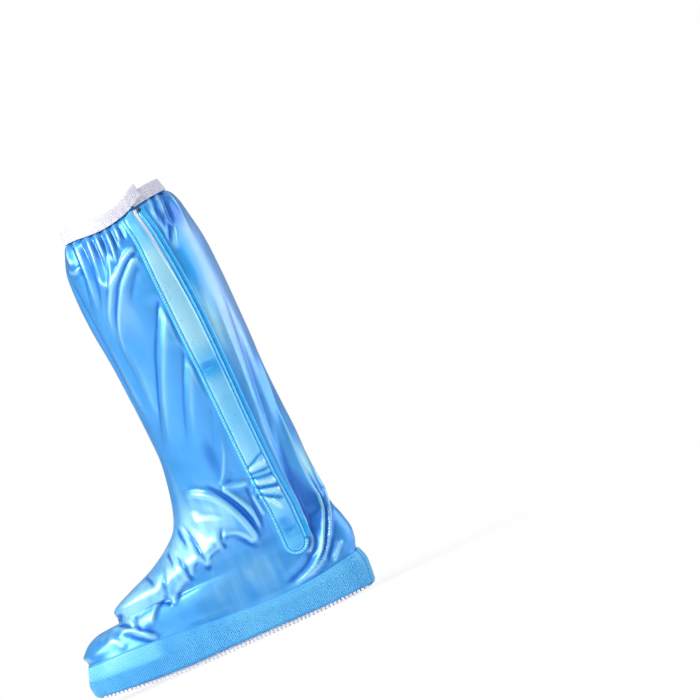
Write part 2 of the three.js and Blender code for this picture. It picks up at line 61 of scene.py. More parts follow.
RING_COLUMNS = (
    "front_x", "front_z", "back_x", "back_z", "back", "middle", "front",
    "square", "swing", "sag", "skew", "follow",
)
RINGS = {
    "sole edge": (-140.5, 12, 139.5, 6, 41, 44, 66, 0.66, 9, 0, 0.58, 1),
    "band belly": (-143.2, 23, 142, 27, 43, 46, 68, 0.67, 9, 5, 0.58, 0),
    "band line": (-137.5, 42, 139, 39.5, 40, 43, 64, 0.69, 9, 10, 0.58, 0),
    "toe side": (-139, 49, 142, 50, 39, 41, 60, 0.71, 9, 9, 0.6, 0),
    "toe brow": (-130.5, 59.5, 143, 60, 38, 39, 53, 0.75, 8, 7, 0.65, 0),
    "toe top": (-115, 65.8, 141, 71, 37, 37, 46, 0.79, 7, 4, 0.7, 0),
    "toe crease": (-95.5, 67.3, 138.5, 80, 37, 36, 39, 0.83, 6, 2, 0.8, 0),
    "vamp edge": (-96, 77.8, 136, 87, 37, 36, 37, 0.84, 5, 0, 1, 0),
    "vamp": (-73, 90.5, 134, 96, 38, 38, 34, 0.87, 3, 0, 1, 0),
    "low instep": (-45.6, 102, 132.3, 107, 39, 39, 32, 0.9, 1, 0, 1, 0),
    "instep": (-25.8, 114, 132, 117, 40, 41, 31, 0.93, 0, 0, 1, 0),
    "high instep": (-12.8, 126, 132.2, 128, 42, 43, 33, 0.95, 0, 0, 1, 0),
    "ankle": (-5.6, 142, 132.4, 142, 44, 46, 37, 0.97, 0, 0, 1, 0),
    "low shin": (-0.3, 166, 132.2, 166, 47, 49, 42, 1, 0, 0, 1, 0),
    "shin": (3.6, 200, 131.2, 200, 50, 52, 46, 1, 0, 0, 1, 0),
    "high shin": (1.8, 248, 129.8, 248, 53, 55, 50, 1, 0, 0, 1, 0),
    "calf": (-2.9, 302, 130.9, 303, 56, 58, 53, 1, 0, 1, 1, 0),
    "high calf": (-7, 354, 128.9, 356, 57, 59, 55, 1, 0, 3, 1, 0),
    "shoulder": (-5.5, 383, 125.3, 388, 55, 57, 53, 1, 0, 4, 1, 0),
    "neck": (-0.3, 402, 121.5, 410, 51, 53, 49, 1, 0, 5, 1.2, 0),
    "gather": (3.4, 410.5, 116.5, 419.5, 47, 49, 46, 1, 0, 5.5, 1.3, 0),
    "elastic foot": (7.3, 413.5, 110.3, 423.3, 43.5, 45.5, 42.5, 1, 0, 5.5, 1.4, 0),
    "hem": (7.6, 420, 108.8, 429.5, 43, 45, 42, 1, 0, 6, 1.3, 0),
    "top edge": (8.2, 427.7, 106.9, 436, 42.5, 44.5, 41.5, 1, 0, 6.5, 1.3, 0),
}
INNER_SAG = 0.55
SIDE_SHIFT = 1.0
SPRING_TOE = (-35, 110, 9.8)
SPRING_HEEL = (80, 65, 3.2)
SPRING_POWER = 1.6
SOLE_MIDDLE = 5.8
SOLE_THINNING = 3.0
SOLE_HALF_LENGTH = 140.0
NORMAL_STEP = 0.002
FINE_TURN = 721  # places round a ring that its length is measured by


class Side(Enum):
    """The side of the foot that a fold lies on."""

    OUTER = 1
    INNER = -1


def ramp(value: Array, low: float, high: float) -> Array:
    """Return 0 below low, 1 above high and a smooth rise between."""
    share = np.clip((value - low) / (high - low), 0, 1)
    return share * share * (3 - 2 * share)


def unit(vectors: Array) -> Array:
    """Return the vectors at length 1."""
    return vectors / np.maximum(np.linalg.norm(vectors, axis=-1, keepdims=True), 1e-12)


def running_length(steps: Array) -> Array:
    """Return the length at the start and at the end of each step."""
    return np.concatenate([[0], np.cumsum(steps)])


def row_slope(before: Array, after: Array) -> Array:
    """Return the slope of a monotone curve at a row, from the steps on either side of it.

    Args:
        before: Rise of the step before the row.
        after: Rise of the step after it.

    Returns:
        The slope, 0 where the steps turn.
    """
    same_way = before * after > 0
    total = np.where(same_way, before + after, 1)
    return np.where(same_way, 2 * before * after / total, 0)


def smooth_rows(table: Array, station: Array) -> Array:
    """Interpolate the rows of a table without overshoot.

    Args:
        table: One row for each whole station.
        station: Fractional row numbers, of any shape.

    Returns:
        The table's columns at each station, on a new last axis.
    """
    last = len(table) - 1
    row = np.clip(np.floor(station).astype(int), 0, last - 1)
    share = (station - row)[..., None]
    step = table[row + 1] - table[row]
    before = table[row] - table[np.maximum(row - 1, 0)]
    after = table[np.minimum(row + 2, last)] - table[row + 1]
    slope_in = np.where((row == 0)[..., None], step, row_slope(before, step))
    slope_out = np.where((row == last - 1)[..., None], step, row_slope(step, after))
    square = share * share
    cube = square * share
    return (
        table[row] * (2 * cube - 3 * square + 1) + slope_in * (cube - 2 * square + share)
        + table[row + 1] * (3 * square - 2 * cube) + slope_out * (cube - square)
    )


def sole_bottom(x: Array) -> Array:
    """Return the height of the outsole's underside, in millimetres.

    Args:
        x: Lengthwise places.

    Returns:
        The heights, with the toe and the heel curved up.
    """
    toe_start, toe_run, toe_rise = SPRING_TOE
    heel_start, heel_run, heel_rise = SPRING_HEEL
    toe = np.maximum(0, (toe_start - x) / toe_run) ** SPRING_POWER * toe_rise
    heel = np.maximum(0, (x - heel_start) / heel_run) ** SPRING_POWER * heel_rise
    return toe + heel


def sole_line(x: Array) -> Array:
    """Return the height of the boot's lower edge, in millimetres."""
    return sole_bottom(x) + SOLE_MIDDLE - SOLE_THINNING * (x / SOLE_HALF_LENGTH) ** 2


class BootForm:
    """The smooth boot: leaning rings from the outsole to the top edge."""

    def __init__(self) -> None:
        self.names = list(RINGS)
        self.table = np.array(list(RINGS.values()), float)
        self.last = len(self.names) - 1

    def station(self, name: str) -> int:
        """Return the row number of a named ring."""
        return self.names.index(name)

    def points(self, station: Array, angle: Array) -> Array:
        """Return points of the boot; angle 0 is the back, pi the front, and the outer side comes first.

        Args:
            station: Ring numbers, with fractions between rings.
            angle: 0 at the back, pi at the front, the outer side first.

        Returns:
            x, y, z places in millimetres.
        """
        station, angle = np.broadcast_arrays(np.asarray(station, float), np.asarray(angle, float))
        (front_x, front_z, back_x, back_z, back, middle, front,
         square, swing, sag, skew, follow) = np.moveaxis(smooth_rows(self.table, station), -1, 0)
        to_front = (1 - np.cos(angle)) / 2
        across = np.sin(angle)
        from_middle = 2 * to_front - 1
        half = middle + (front - back) / 2 * from_middle + ((front + back) / 2 - middle) * from_middle**2
        x = back_x + (front_x - back_x) * to_front
        y = SIDE_SHIFT + swing * to_front**2 - half * np.sign(across) * np.abs(across) ** square
        share_of_sag = np.where(across > 0, 1, INNER_SAG)
        drop = sag * share_of_sag * np.sin(np.pi * to_front**skew) ** 2
        z = back_z + (front_z - back_z) * to_front - drop
        z = z + (sole_line(x) - z) * follow
        return np.stack([x, y, z], -1)

    def normals(self, station: Array, angle: Array) -> Array:
        """Return the outward normals at the same places as points().

        Args:
            station: Ring numbers.
            angle: Angles round them.

        Returns:
            Vectors of length 1.
        """
        up = self.points(station + NORMAL_STEP, angle) - self.points(station - NORMAL_STEP, angle)
        around = self.points(station, angle + NORMAL_STEP) - self.points(station, angle - NORMAL_STEP)
        return unit(np.cross(up, around))

    def angle_at(self, station: Array, x: Array, side: Side) -> Array:
        """Return the angle where rings reach x on one side.

        Args:
            station: Ring numbers.
            x: Lengthwise places.
            side: The side to find.

        Returns:
            Angles like x.
        """
        rings = smooth_rows(self.table, station)
        front_x, back_x = (rings[..., RING_COLUMNS.index(name)] for name in ("front_x", "back_x"))
        angle = np.arccos(1 - 2 * np.clip((back_x - x) / (back_x - front_x), 0, 1))
        return angle if side is Side.OUTER else 2 * np.pi - angle

    def locate(self, x: Array, z: Array, side: Side) -> tuple[Array, Array]:
        """Find the station and angle of places seen from one side.

        Args:
            x: Lengthwise places.
            z: Heights.
            side: The side they are seen from.

        Returns:
            Stations and angles, as arrays like x.
        """
        x, z = np.broadcast_arrays(np.asarray(x, float), np.asarray(z, float))
        low = np.zeros(x.shape)
        high = np.full(x.shape, float(self.last))
        for _ in range(34):
            station = (low + high) / 2
            below = self.points(station, self.angle_at(station, x, side))[..., 2] < z
            low = np.where(below, station, low)
            high = np.where(below, high, station)
        return station, self.angle_at(station, x, side)

    def even_stations(self, start: float, end: float, count: int) -> Array:
        """Return stations whose rings are evenly spaced along the boot's wall.

        Args:
            start: First station.
            end: Last station.
            count: How many.

        Returns:
            The stations.
        """
        fine = np.linspace(start, end, 1200)
        lines = self.points(fine[:, None], np.linspace(0, 2 * np.pi, 16, endpoint=False)[None, :])
        steps = np.linalg.norm(np.diff(lines, axis=0), axis=-1).mean(1)
        length = running_length(steps)
        return np.interp(np.linspace(0, length[-1], count), length, fine)

    def even_angles(self, stations: Array, outer: int, inner: int) -> Array:
        """Return angles, a row for each station, evenly spaced along each side of its ring.

        Args:
            stations: The rings.
            outer: Columns on the outer side, from the back line to the front line.
            inner: Columns on the inner side, from the front line to the back line.
        """
        fine = np.linspace(0, 2 * np.pi, FINE_TURN)
        half = len(fine) // 2
        steps = np.linalg.norm(np.diff(self.points(stations[:, None], fine[None, :]), axis=1), axis=-1)
        rows = []
        for step in steps:
            length = running_length(step)
            front = length[half]
            wanted = np.concatenate([
                np.linspace(0, front, outer, endpoint=False),
                np.linspace(front, length[-1], inner, endpoint=False),
            ])
            rows.append(np.interp(wanted, length, fine))
        return np.array(rows)


FORM = BootForm()
BAND_LINE = FORM.station("band line")
ELASTIC_FOOT = FORM.station("elastic foot")
HEM = FORM.station("hem")
TOP_EDGE = FORM.station("top edge")


# ------------------------ line of the closure

CLOSURE_HEIGHTS = (57.5, 100, 140, 190, 240, 300, 345, 385, 412)
CLOSURE_MIDDLES = (89.3, 89.2, 86.3, 85.0, 84.2, 82.6, 80.6, 78.0, 73.4)
CLOSURE_HALF_WIDTHS = (12.2, 12.3, 12.4, 12.4, 12.8, 13.4, 12.8, 11.2, 10.8)
CLOSURE_DROP = 3.6
STRIP_REACH = 3.9
TURN_RUN = 60.0


class ClosureLine:
    """Where the closure runs on the outer side: straight sides with a round lower end."""

    def __init__(self) -> None:
        self.heights = np.array(CLOSURE_HEIGHTS, float)
        self.table = np.array([CLOSURE_MIDDLES, CLOSURE_HALF_WIDTHS], float).T
        self.radius = CLOSURE_HALF_WIDTHS[0]
        self.turn_height = CLOSURE_HEIGHTS[0] + self.radius

    def at(self, height: Array) -> tuple[Array, Array]:
        """Return the closure's middle and half width at a height.

        Args:
            height: Heights up the leg.

        Returns:
            The x of its middle and its half width.
        """
        clamped = np.clip(height, self.heights[0], self.heights[-1])
        station = np.interp(clamped, self.heights, np.arange(len(self.heights)))
        found = smooth_rows(self.table, station)
        return found[..., 0], found[..., 1]

    def top(self, x: float) -> float:
        """Return the highest place of the closure at x, under the elastic."""
        angle = FORM.angle_at(np.array(float(ELASTIC_FOOT)), np.array(x), Side.OUTER)
        return float(FORM.points(float(ELASTIC_FOOT), angle)[2]) - CLOSURE_DROP

    def side(self, share: Array, inset: Array, way: int) -> Array:
        """Return x, z places up one side.

        Args:
            share: Shares of the way up.
            inset: How far inside the closure's edge.
            way: -1 for the front edge and 1 for the rear edge.
        """
        top = self.top(CLOSURE_MIDDLES[-1] + way * self.radius)
        height = self.turn_height + (top - self.turn_height) * share
        middle, half_width = self.at(height)
        grown = ramp(height, self.turn_height, self.turn_height + TURN_RUN)
        half = self.radius + (half_width - self.radius) * grown
        return np.stack([middle + way * (half - inset), height], -1)

    def arc(self, inset: float, turns: Array) -> Array:
        """Return x, z places round the lower end; turn pi is its front and 2 pi its rear.

        Args:
            inset: How far inside the edge.
            turns: Angles, pi at the front and 2 pi at the rear.

        Returns:
            x, z places.
        """
        radius = self.radius - inset
        middle, _ = self.at(np.array(self.turn_height))
        return np.stack([middle + radius * np.cos(turns), self.turn_height + radius * np.sin(turns)], -1)

    def beyond(self, points: Array) -> Array:
        """Return how far points lie outside the closure's edge, less so behind its rear strip.

        Args:
            points: Points of the smooth boot.

        Returns:
            Distances in millimetres, large on the inner side.
        """
        middle, half_width = self.at(points[..., 2])
        below = np.maximum(0, self.turn_height - points[..., 2])
        across = points[..., 0] - middle
        gap = np.hypot(across, below) - half_width - STRIP_REACH * ramp(across, 4, 10)
        return np.where(points[..., 1] > 0, 1000.0, gap)


CLOSURE = ClosureLine()


# ------------------------ folds


@dataclass(frozen=True)
class Fold:
    """A fold of the film along a line, in millimetres.

    path holds the line's x, z places in turn. rise is how far the fold stands out, and a valley is
    negative. left and right are its reaches on either side of the way along it. start and end are the
    shares of its length over which it grows and dies. crest is the radius that its crest is rounded to.
    """

    path: tuple[float, ...]
    rise: float
    left: float
    right: float
    start: float = 0.25
    end: float = 0.35
    crest: float = 1.2


OUTER_FOLDS = {
    # gathers under the elastic, from the front to the back
    "front gather": Fold((7, 413, 4.5, 402, 3.5, 394, -1, 386), 2.4, 2.6, 3, 0.03, 0.4, 0.9),
    "front hook": Fold((11, 394, 8, 388, 3, 386, -2, 389), 1.8, 2.4, 2.4, 0.3, 0.3, 0.8),
    "gather valley 1": Fold((10.5, 413, 9.5, 396, 8, 376, 4, 350, 2, 320), -2.4, 3, 3, 0.02, 0.7, 1),
    "gather ridge 1": Fold((14.5, 413, 13.5, 395, 12.5, 372, 10, 348, 8, 320), 2.2, 3.4, 3, 0.02, 0.7, 1.2),
    "gather valley 2": Fold((19.5, 413, 19.5, 392, 18, 370, 14, 350, 7, 334), -3, 3, 3.6, 0.02, 0.5, 1),
    "gather ridge 2": Fold((27, 413, 26.5, 398, 25, 384, 23, 366, 20, 350), 2.4, 3.6, 4, 0.02, 0.6, 1.4),
    "gather valley 3": Fold((31.5, 413, 31.5, 398, 31.5, 384, 30, 372), -2, 2.2, 2.2, 0.02, 0.5, 0.8),
    "gather ridge 3": Fold((35.5, 413, 35.5, 399, 34.5, 386, 31.5, 372), 2.2, 2.2, 2.4, 0.02, 0.5, 0.8),
    "gather loop": Fold(
        (20, 382, 22.5, 369, 27.5, 361.5, 33, 367, 37.5, 379, 40, 394), 1.9, 2.2, 3.6, 0.35, 0.35, 0.9,
    ),
    "gather valley 4": Fold((40.5, 413, 40.5, 398, 39, 382), -2.2, 2.2, 2.2, 0.02, 0.6, 0.8),
    "gather ridge 4": Fold((46, 413, 46.5, 399, 45.5, 386, 43.5, 374.5), 2.6, 2.6, 2.6, 0.02, 0.16, 0.9),
    "gather valley 5": Fold((50.5, 414, 51, 399, 50.5, 384), -2, 2.2, 2.2, 0.02, 0.6, 0.8),
    "gather ridge 5": Fold((55, 414, 55.5, 402, 54, 389), 2, 2.2, 2.4, 0.02, 0.6, 0.8),
    "gather valley 6": Fold((59.5, 414, 59.5, 403, 61, 392), -1.8, 2, 2.2, 0.02, 0.5, 0.8),
    "rear gather ridge 1": Fold((95, 422, 94, 408, 94.5, 392, 96, 374), 2, 2, 2, 0.02, 0.6, 0.8),
    "rear gather valley 1": Fold((99, 422, 99, 406, 98, 386), -2.4, 2, 2.2, 0.02, 0.6, 0.8),
    "rear gather ridge 2": Fold((103, 422, 103.5, 410, 102.5, 397), 2, 1.8, 1.8, 0.02, 0.5, 0.8),
    "rear gather valley 2": Fold((108, 423, 108.5, 407, 107.5, 392, 105, 376), -3, 4, 3, 0.02, 0.5, 1.4),
    "rear gather ridge 3": Fold((113, 422, 116.5, 408, 118.5, 392, 119.5, 370), 2.2, 3, 3, 0.02, 0.6, 1.2),
    "rear shoulder ridge": Fold((109, 394, 106, 384, 101.5, 374, 97, 364), 2.2, 2.6, 2.6, 0.35, 0.4, 0.8),
    "rear shoulder valley": Fold((104, 393, 101, 384, 96.5, 374), -1.8, 2, 2.4, 0.3, 0.4, 0.9),
    # pinch beside the closure
    "pinch ridge": Fold(
        (68, 384.5, 58, 381, 49.5, 376, 41, 368, 32, 360, 24, 348, 16, 332, 11, 312),
        2.9, 2.8, 2.4, 0.08, 0.55, 1,
    ),
    "pinch valley": Fold(
        (67, 381.5, 55, 374, 42.5, 362.5, 32.5, 349, 23, 332, 16, 312), -3, 2.8, 3, 0.08, 0.5, 1,
    ),
    "pinch second ridge": Fold(
        (67, 378, 58, 374, 50, 367, 37.5, 354.5, 28.5, 339, 21, 321, 17, 300, 15, 276),
        2.8, 4.6, 2.8, 0.08, 0.55, 1.2,
    ),
    "pinch hollow": Fold((64, 371, 54, 360, 45, 346, 38, 330), -1.8, 8, 4, 0.2, 0.5, 2.5),
    # long drapes of the leg
    "front line": Fold(
        (-2, 402, -3.5, 372, -1.5, 336, 0.5, 300, 3, 262, 6, 225, 8, 196), -2.2, 4.5, 3, 0.2, 0.4, 1.2,
    ),
    "front roll": Fold((3, 352, 5, 318, 7.5, 284, 9.5, 250, 11, 215), 1.5, 5, 4, 0.4, 0.4, 2.5),
    "second front valley": Fold((12, 322, 13, 300, 15, 270, 16, 240), -1.3, 5, 5, 0.4, 0.4, 2.5),
    "second front roll": Fold((20, 330, 21, 300, 22.5, 270, 20, 236, 16, 206), 1.5, 9, 5, 0.4, 0.4, 3),
    "shin valley": Fold(
        (68, 337, 55, 310, 42, 287, 32, 262, 24, 240, 16, 216, 10, 192), -2.7, 3.2, 11, 0.1, 0.35, 1.1,
    ),
    "shin ridge": Fold(
        (72, 324, 61, 301, 49.5, 279, 39.5, 258, 31, 236, 23, 212, 16, 188), 2.6, 14, 4.6, 0.12, 0.4, 2.2,
    ),
    "second shin valley": Fold(
        (71, 286, 63, 268, 54, 249, 45, 228, 37, 206, 30, 182), -2.2, 3.2, 9, 0.12, 0.45, 1.1,
    ),
    "second shin ridge": Fold(
        (73, 270, 66, 254, 57.5, 235, 48.5, 212, 41, 188), 2, 11, 4.6, 0.15, 0.5, 2.2,
    ),
    "third shin valley": Fold((72, 232, 66, 212, 58, 190, 50, 168), -1.2, 4, 8, 0.3, 0.4, 2),
    # ankle
    "ankle pinch up": Fold((68, 196, 62, 174, 54, 157, 46, 145.5), 1.8, 3.4, 3, 0.5, 0.08, 0.9),
    "ankle pinch across": Fold((73, 138.5, 60, 141, 46, 145.5), 1.9, 3, 2.2, 0.2, 0.1, 0.9),
    "ankle pinch hollow": Fold((64, 158, 58, 150, 52, 146.5), -0.7, 4, 4, 0.3, 0.3, 1.6),
    "ankle swirl": Fold(
        (6, 150, 20, 149.5, 33, 142, 43.5, 129.5, 50.5, 115.5, 55, 101, 57, 90, 51, 83.5),
        4.4, 3, 9, 0.3, 0.06, 1.4,
    ),
    "ankle deep valley": Fold(
        (30, 158, 41, 143.5, 50, 129, 57, 114, 60.5, 100, 60.5, 86), -3, 2.4, 2, 0.35, 0.25, 0.8,
    ),
    "ankle second swirl": Fold(
        (46, 145, 55, 131, 61.5, 117, 64.5, 103, 63.5, 88), 3.4, 3.4, 2.6, 0.08, 0.45, 1,
    ),
    "ankle hollow": Fold((68, 142, 68.5, 124, 68, 104, 66, 86), -2.6, 3, 2.6, 0.25, 0.4, 1),
    "seam drop": Fold((70, 133, 70.5, 120, 73, 103), 2.4, 2.2, 2.4, 0.35, 0.2, 0.8),
    # instep: the upper face rolls over a scalloped edge
    "instep shelf": Fold((-74, 60, -50, 76, -20, 88, 10, 97, 40, 105), 2.6, 16, 5, 0.25, 0.25, 4),
    "scallop 1": Fold((-67, 50, -63, 58.5, -55, 67, -46, 71.5, -41.5, 66.5), 2.4, 8, 1.5, 0.25, 0.12, 0.8),
    "scallop 2": Fold((-41.5, 65, -37, 65.5, -32, 72.5, -23, 78, -14, 79.5), 2.4, 8, 1.5, 0.12, 0.12, 0.8),
    "scallop 3": Fold((-14, 79, -9, 88, -2, 92, 3, 89, 5.5, 81.5), 2.4, 8, 1.5, 0.14, 0.12, 0.8),
    "scallop 4": Fold((5.5, 81, 8, 89.5, 17, 94, 27, 95), 2.4, 8, 1.5, 0.12, 0.14, 0.8),
    "scallop 5": Fold((26.5, 94, 31, 102.5, 41, 101, 48, 94, 53, 83), 2.4, 8, 1.5, 0.12, 0.14, 0.8),
    "scallop cusp 1": Fold((-42, 62, -41.5, 74, -36, 92, -30, 106), -1.8, 3, 1.6, 0.15, 0.6, 0.8),
    "scallop cusp 2": Fold((-14, 74, -14.5, 88, -17, 99, -19, 112), -1.8, 2.2, 2, 0.15, 0.5, 0.8),
    "scallop cusp 3": Fold((5.5, 76, 5, 90, 3, 104, 0, 117, -3, 132), -2.2, 2.6, 2, 0.12, 0.4, 0.8),
    "scallop cusp 4": Fold((27, 90, 28, 102, 33, 116), -1.6, 2.2, 2.2, 0.15, 0.5, 0.8),
    "instep crinkle 1": Fold((-26, 112, -25, 100, -24, 88), -1.6, 1.8, 3.4, 0.3, 0.4, 0.8),
    "instep crinkle 2": Fold((-9, 128, -7, 116, -4, 102), -1.8, 1.6, 3.2, 0.25, 0.4, 0.8),
    "instep crinkle 3": Fold((-54, 98, -50, 90, -48, 80), -1.4, 1.8, 3.4, 0.3, 0.4, 0.8),
    "instep roll": Fold((10, 138, 14, 122, 18, 106), 1.6, 6, 4, 0.3, 0.4, 2),
    "instep cross roll": Fold((2, 126, 16, 124, 32, 117, 46, 106), 1.4, 5, 5, 0.3, 0.3, 2),
    # toe
    "toe lip": Fold((-99, 60, -87, 57, -76.5, 49, -66, 38), 3, 3.6, 2.6, 0.25, 0.06, 0.9),
    "toe lip valley": Fold((-95, 68, -88, 63, -80, 56, -72, 46), -2.6, 2.2, 2.4, 0.2, 0.2, 0.9),
    "toe second lip": Fold((-80, 76, -83, 65, -79.5, 53, -66, 39), 2.6, 2.4, 3, 0.3, 0.06, 0.9),
    "toe notch": Fold((-98, 69.5, -91, 72.5, -84, 73), -2.4, 2.2, 2.4, 0.02, 0.5, 0.9),
    "toe cap roll": Fold((-132, 46, -120, 52, -108, 55, -97, 52), 1, 5, 5, 0.3, 0.3, 2),
    "toe cap cross": Fold((-110, 61, -104, 53, -96, 42), 0.9, 4.4, 4, 0.3, 0.25, 1.2),
    "toe cap valley": Fold((-126, 57, -116, 59.5, -104, 61), -0.5, 4, 4, 0.3, 0.3, 1.6),
    "toe tip crumple": Fold((-140, 52, -135, 48, -128, 45), 1.1, 2.2, 2.4, 0.2, 0.3, 0.8),
    "toe tip crumple 2": Fold((-139, 46, -133, 44, -126, 43), -0.8, 2.2, 2.4, 0.2, 0.3, 0.8),
    # heel
    "heel first ridge": Fold(
        (126, 214, 123.5, 170, 123.5, 124, 126, 100, 124.5, 85, 118, 69, 108, 51.5, 92, 40, 68, 29),
        3, 1.6, 2.4, 0.3, 0.05, 0.7,
    ),
    "heel second ridge": Fold(
        (132.5, 150, 132.5, 110, 131.5, 90, 125.5, 72, 114.5, 52.5, 98, 39, 78, 30),
        3, 1.8, 1.6, 0.3, 0.08, 0.7,
    ),
    "heel middle valley": Fold(
        (128, 140, 128.5, 106, 127.5, 88, 121.5, 71, 111, 52, 95, 39.5), -2.2, 1.4, 1.4, 0.3, 0.15, 0.6,
    ),
    "heel deep valley": Fold(
        (118, 190, 114, 140, 113.5, 104, 110, 78, 100, 57, 86, 45), -4.4, 5, 7, 0.3, 0.25, 2,
    ),
    "heel front ridge": Fold((104.5, 200, 104.5, 140, 104, 100, 101.5, 76), 1.8, 3.4, 2.4, 0.3, 0.45, 1.2),
    "heel glint": Fold((130, 55, 122, 46, 114, 37), 2.2, 2.2, 2.2, 0.25, 0.15, 0.8),
    "heel glint valley": Fold((124, 62, 117, 51, 110, 41), -1.8, 2.2, 2.2, 0.25, 0.25, 0.9),
    "rear drape ridge": Fold(
        (116, 330, 112, 285, 109.5, 240, 106.5, 196, 104, 160), 1.5, 5, 3.4, 0.45, 0.35, 1.6,
    ),
    "rear drape valley": Fold(
        (124, 320, 120.5, 262, 115.5, 210, 110.5, 168, 108.5, 140), -2.2, 4.6, 3.8, 0.4, 0.35, 1.4,
    ),
    "low back roll": Fold((129, 262, 127, 222, 124.5, 186), 1.4, 3.4, 4, 0.4, 0.4, 1.6),
    # side of the foot
    "foot swell": Fold((-34, 54, 0, 60, 34, 64, 60, 62), 1.6, 14, 12, 0.3, 0.3, 8),
    "under closure roll": Fold((105, 64, 97, 51, 82, 42, 60, 36), -2.6, 3.6, 4.5, 0.25, 0.3, 1.6),
}

CROSSING_FOLDS = {
    "cross crease 1": Fold((74, 150, 84, 155, 97, 162), -1.5, 1.6, 1.4, 0.12, 0.3, 0.5),
    "cross roll 1": Fold((74, 148, 84, 150, 97, 152), 1.5, 1.8, 1.8, 0.15, 0.3, 0.6),
    "cross crease 2": Fold((73, 145.5, 84, 145, 98, 145), -1.5, 1.4, 1.4, 0.12, 0.3, 0.5),
    "cross crease 3": Fold((72, 141, 84, 139.5, 99, 138), -1.8, 1.5, 1.5, 0.12, 0.2, 0.5),
    "cross roll 2": Fold((73, 137, 84, 134, 99, 130.5), 2.5, 1.8, 1.8, 0.12, 0.2, 0.6),
    "cross crease 4": Fold((73, 132, 84, 129.3, 99, 126), -2.2, 1.4, 1.4, 0.12, 0.2, 0.5),
    "cross roll 3": Fold((73, 128.5, 84, 125.5, 98, 121), 2.4, 1.6, 1.6, 0.12, 0.2, 0.6),
    "cross crease 5": Fold((73, 126, 84, 120, 98, 113), -1.9, 1.5, 1.8, 0.15, 0.25, 0.5),
    "cross drop": Fold((76, 124, 86, 113.5, 92, 102), 1.9, 1.8, 1.8, 0.15, 0.35, 0.6),
    "cross hollow": Fold((84, 100, 88, 88, 91, 76), -1, 6, 6, 0.3, 0.3, 4),
    "upper panel dip": Fold((82, 262, 82, 250), -0.8, 9, 9, 0.3, 0.3, 4),
}

INNER_FOLDS = {
    "inner ankle roll": Fold((-4, 152, 12, 140, 34, 126, 58, 118, 82, 114), 4, 4, 7, 0.25, 0.3),
    "inner ankle valley": Fold((2, 140, 20, 126, 42, 113, 66, 105, 88, 102), -4, 4, 4, 0.25, 0.3),
    "inner ankle second roll": Fold((14, 120, 34, 106, 56, 96, 78, 92), 3, 4, 6, 0.25, 0.3),
    "inner calf drape": Fold((4, 372, 10, 330, 20, 280, 26, 230, 24, 190), 2.8, 7, 5, 0.3, 0.3),
    "inner calf valley": Fold((14, 384, 22, 340, 34, 290, 42, 240, 40, 196), -3, 4, 6, 0.3, 0.3),
    "inner back drape": Fold((112, 380, 104, 330, 90, 276, 74, 226, 62, 190), 2.8, 5, 7, 0.3, 0.3),
    "inner back valley": Fold((120, 350, 112, 300, 98, 250, 84, 208), -2.6, 5, 4, 0.3, 0.3),
    "inner heel drape": Fold((126, 200, 122, 160, 112, 126, 96, 100, 80, 84), 3.2, 4, 5, 0.25, 0.3),
    "inner heel valley": Fold((118, 176, 110, 144, 98, 118, 84, 100), -3, 4, 4, 0.25, 0.3),
    "inner heel lines": Fold((134, 110, 130, 84, 116, 60, 98, 44, 76, 34), 2.6, 2.6, 3, 0.25, 0.15),
    "inner heel second line": Fold((126, 96, 120, 76, 106, 56, 90, 44), -2.4, 2.6, 3, 0.25, 0.2),
    "inner instep roll": Fold((-66, 62, -44, 74, -18, 84, 10, 92, 36, 96), 3.2, 4, 12, 0.2, 0.25),
    "inner instep crinkle 1": Fold((-40, 102, -34, 90, -30, 78), -2.2, 2.6, 3, 0.25, 0.3),
    "inner instep crinkle 2": Fold((-18, 110, -12, 98, -8, 86), -2.2, 2.6, 3, 0.25, 0.3),
    "inner instep crinkle 3": Fold((-4, 130, 4, 114, 10, 100), -2.2, 2.6, 3, 0.25, 0.3),
    "inner toe lip": Fold((-98, 62, -86, 57, -76, 48, -68, 38), 2.6, 3, 3, 0.2, 0.15),
    "inner toe valley": Fold((-92, 70, -84, 62, -76, 54), -2.4, 3, 3, 0.2, 0.2),
    "inner toe cap roll": Fold((-130, 48, -116, 54, -100, 54), 1.8, 4, 4, 0.25, 0.3),
    "inner foot dent": Fold((-30, 50, 10, 56, 50, 52), -1.6, 8, 8, 0.3, 0.3, 4),
}


@dataclass
class InnerGathers:
    """Gathers under the elastic on the inner side, spaced by a rule."""

    count: int = 17
    first_x: float = 12.0
    last_x: float = 107.0
    depth: float = 36.0
    rise: float = 2.2
    half_width: float = 2.5
    top: float = 412.0
    climb: float = 9.0  # of their tops from the first to the last
    shortest: float = 0.6
    spread: float = 0.7  # of their lengths, in shares of the depth
    slant: float = 5.0

    def folds(self) -> list[Fold]:
        """Return alternate ridges and valleys with uneven lengths and slants."""
        random = np.random.default_rng(SEED)
        found = []
        for index, x in enumerate(np.linspace(self.first_x, self.last_x, self.count)):
            top = self.top + self.climb * (x - self.first_x) / (self.last_x - self.first_x)
            length = self.depth * (self.shortest + self.spread * random.random())
            slant = self.slant * (random.random() - 0.5)
            rise = self.rise if index % 2 == 0 else -self.rise
            path = (x, top, x + slant * 0.4, top - length / 2, x + slant, top - length)
            found.append(Fold(path, rise, self.half_width, self.half_width, 0.03, 0.45))
        return found


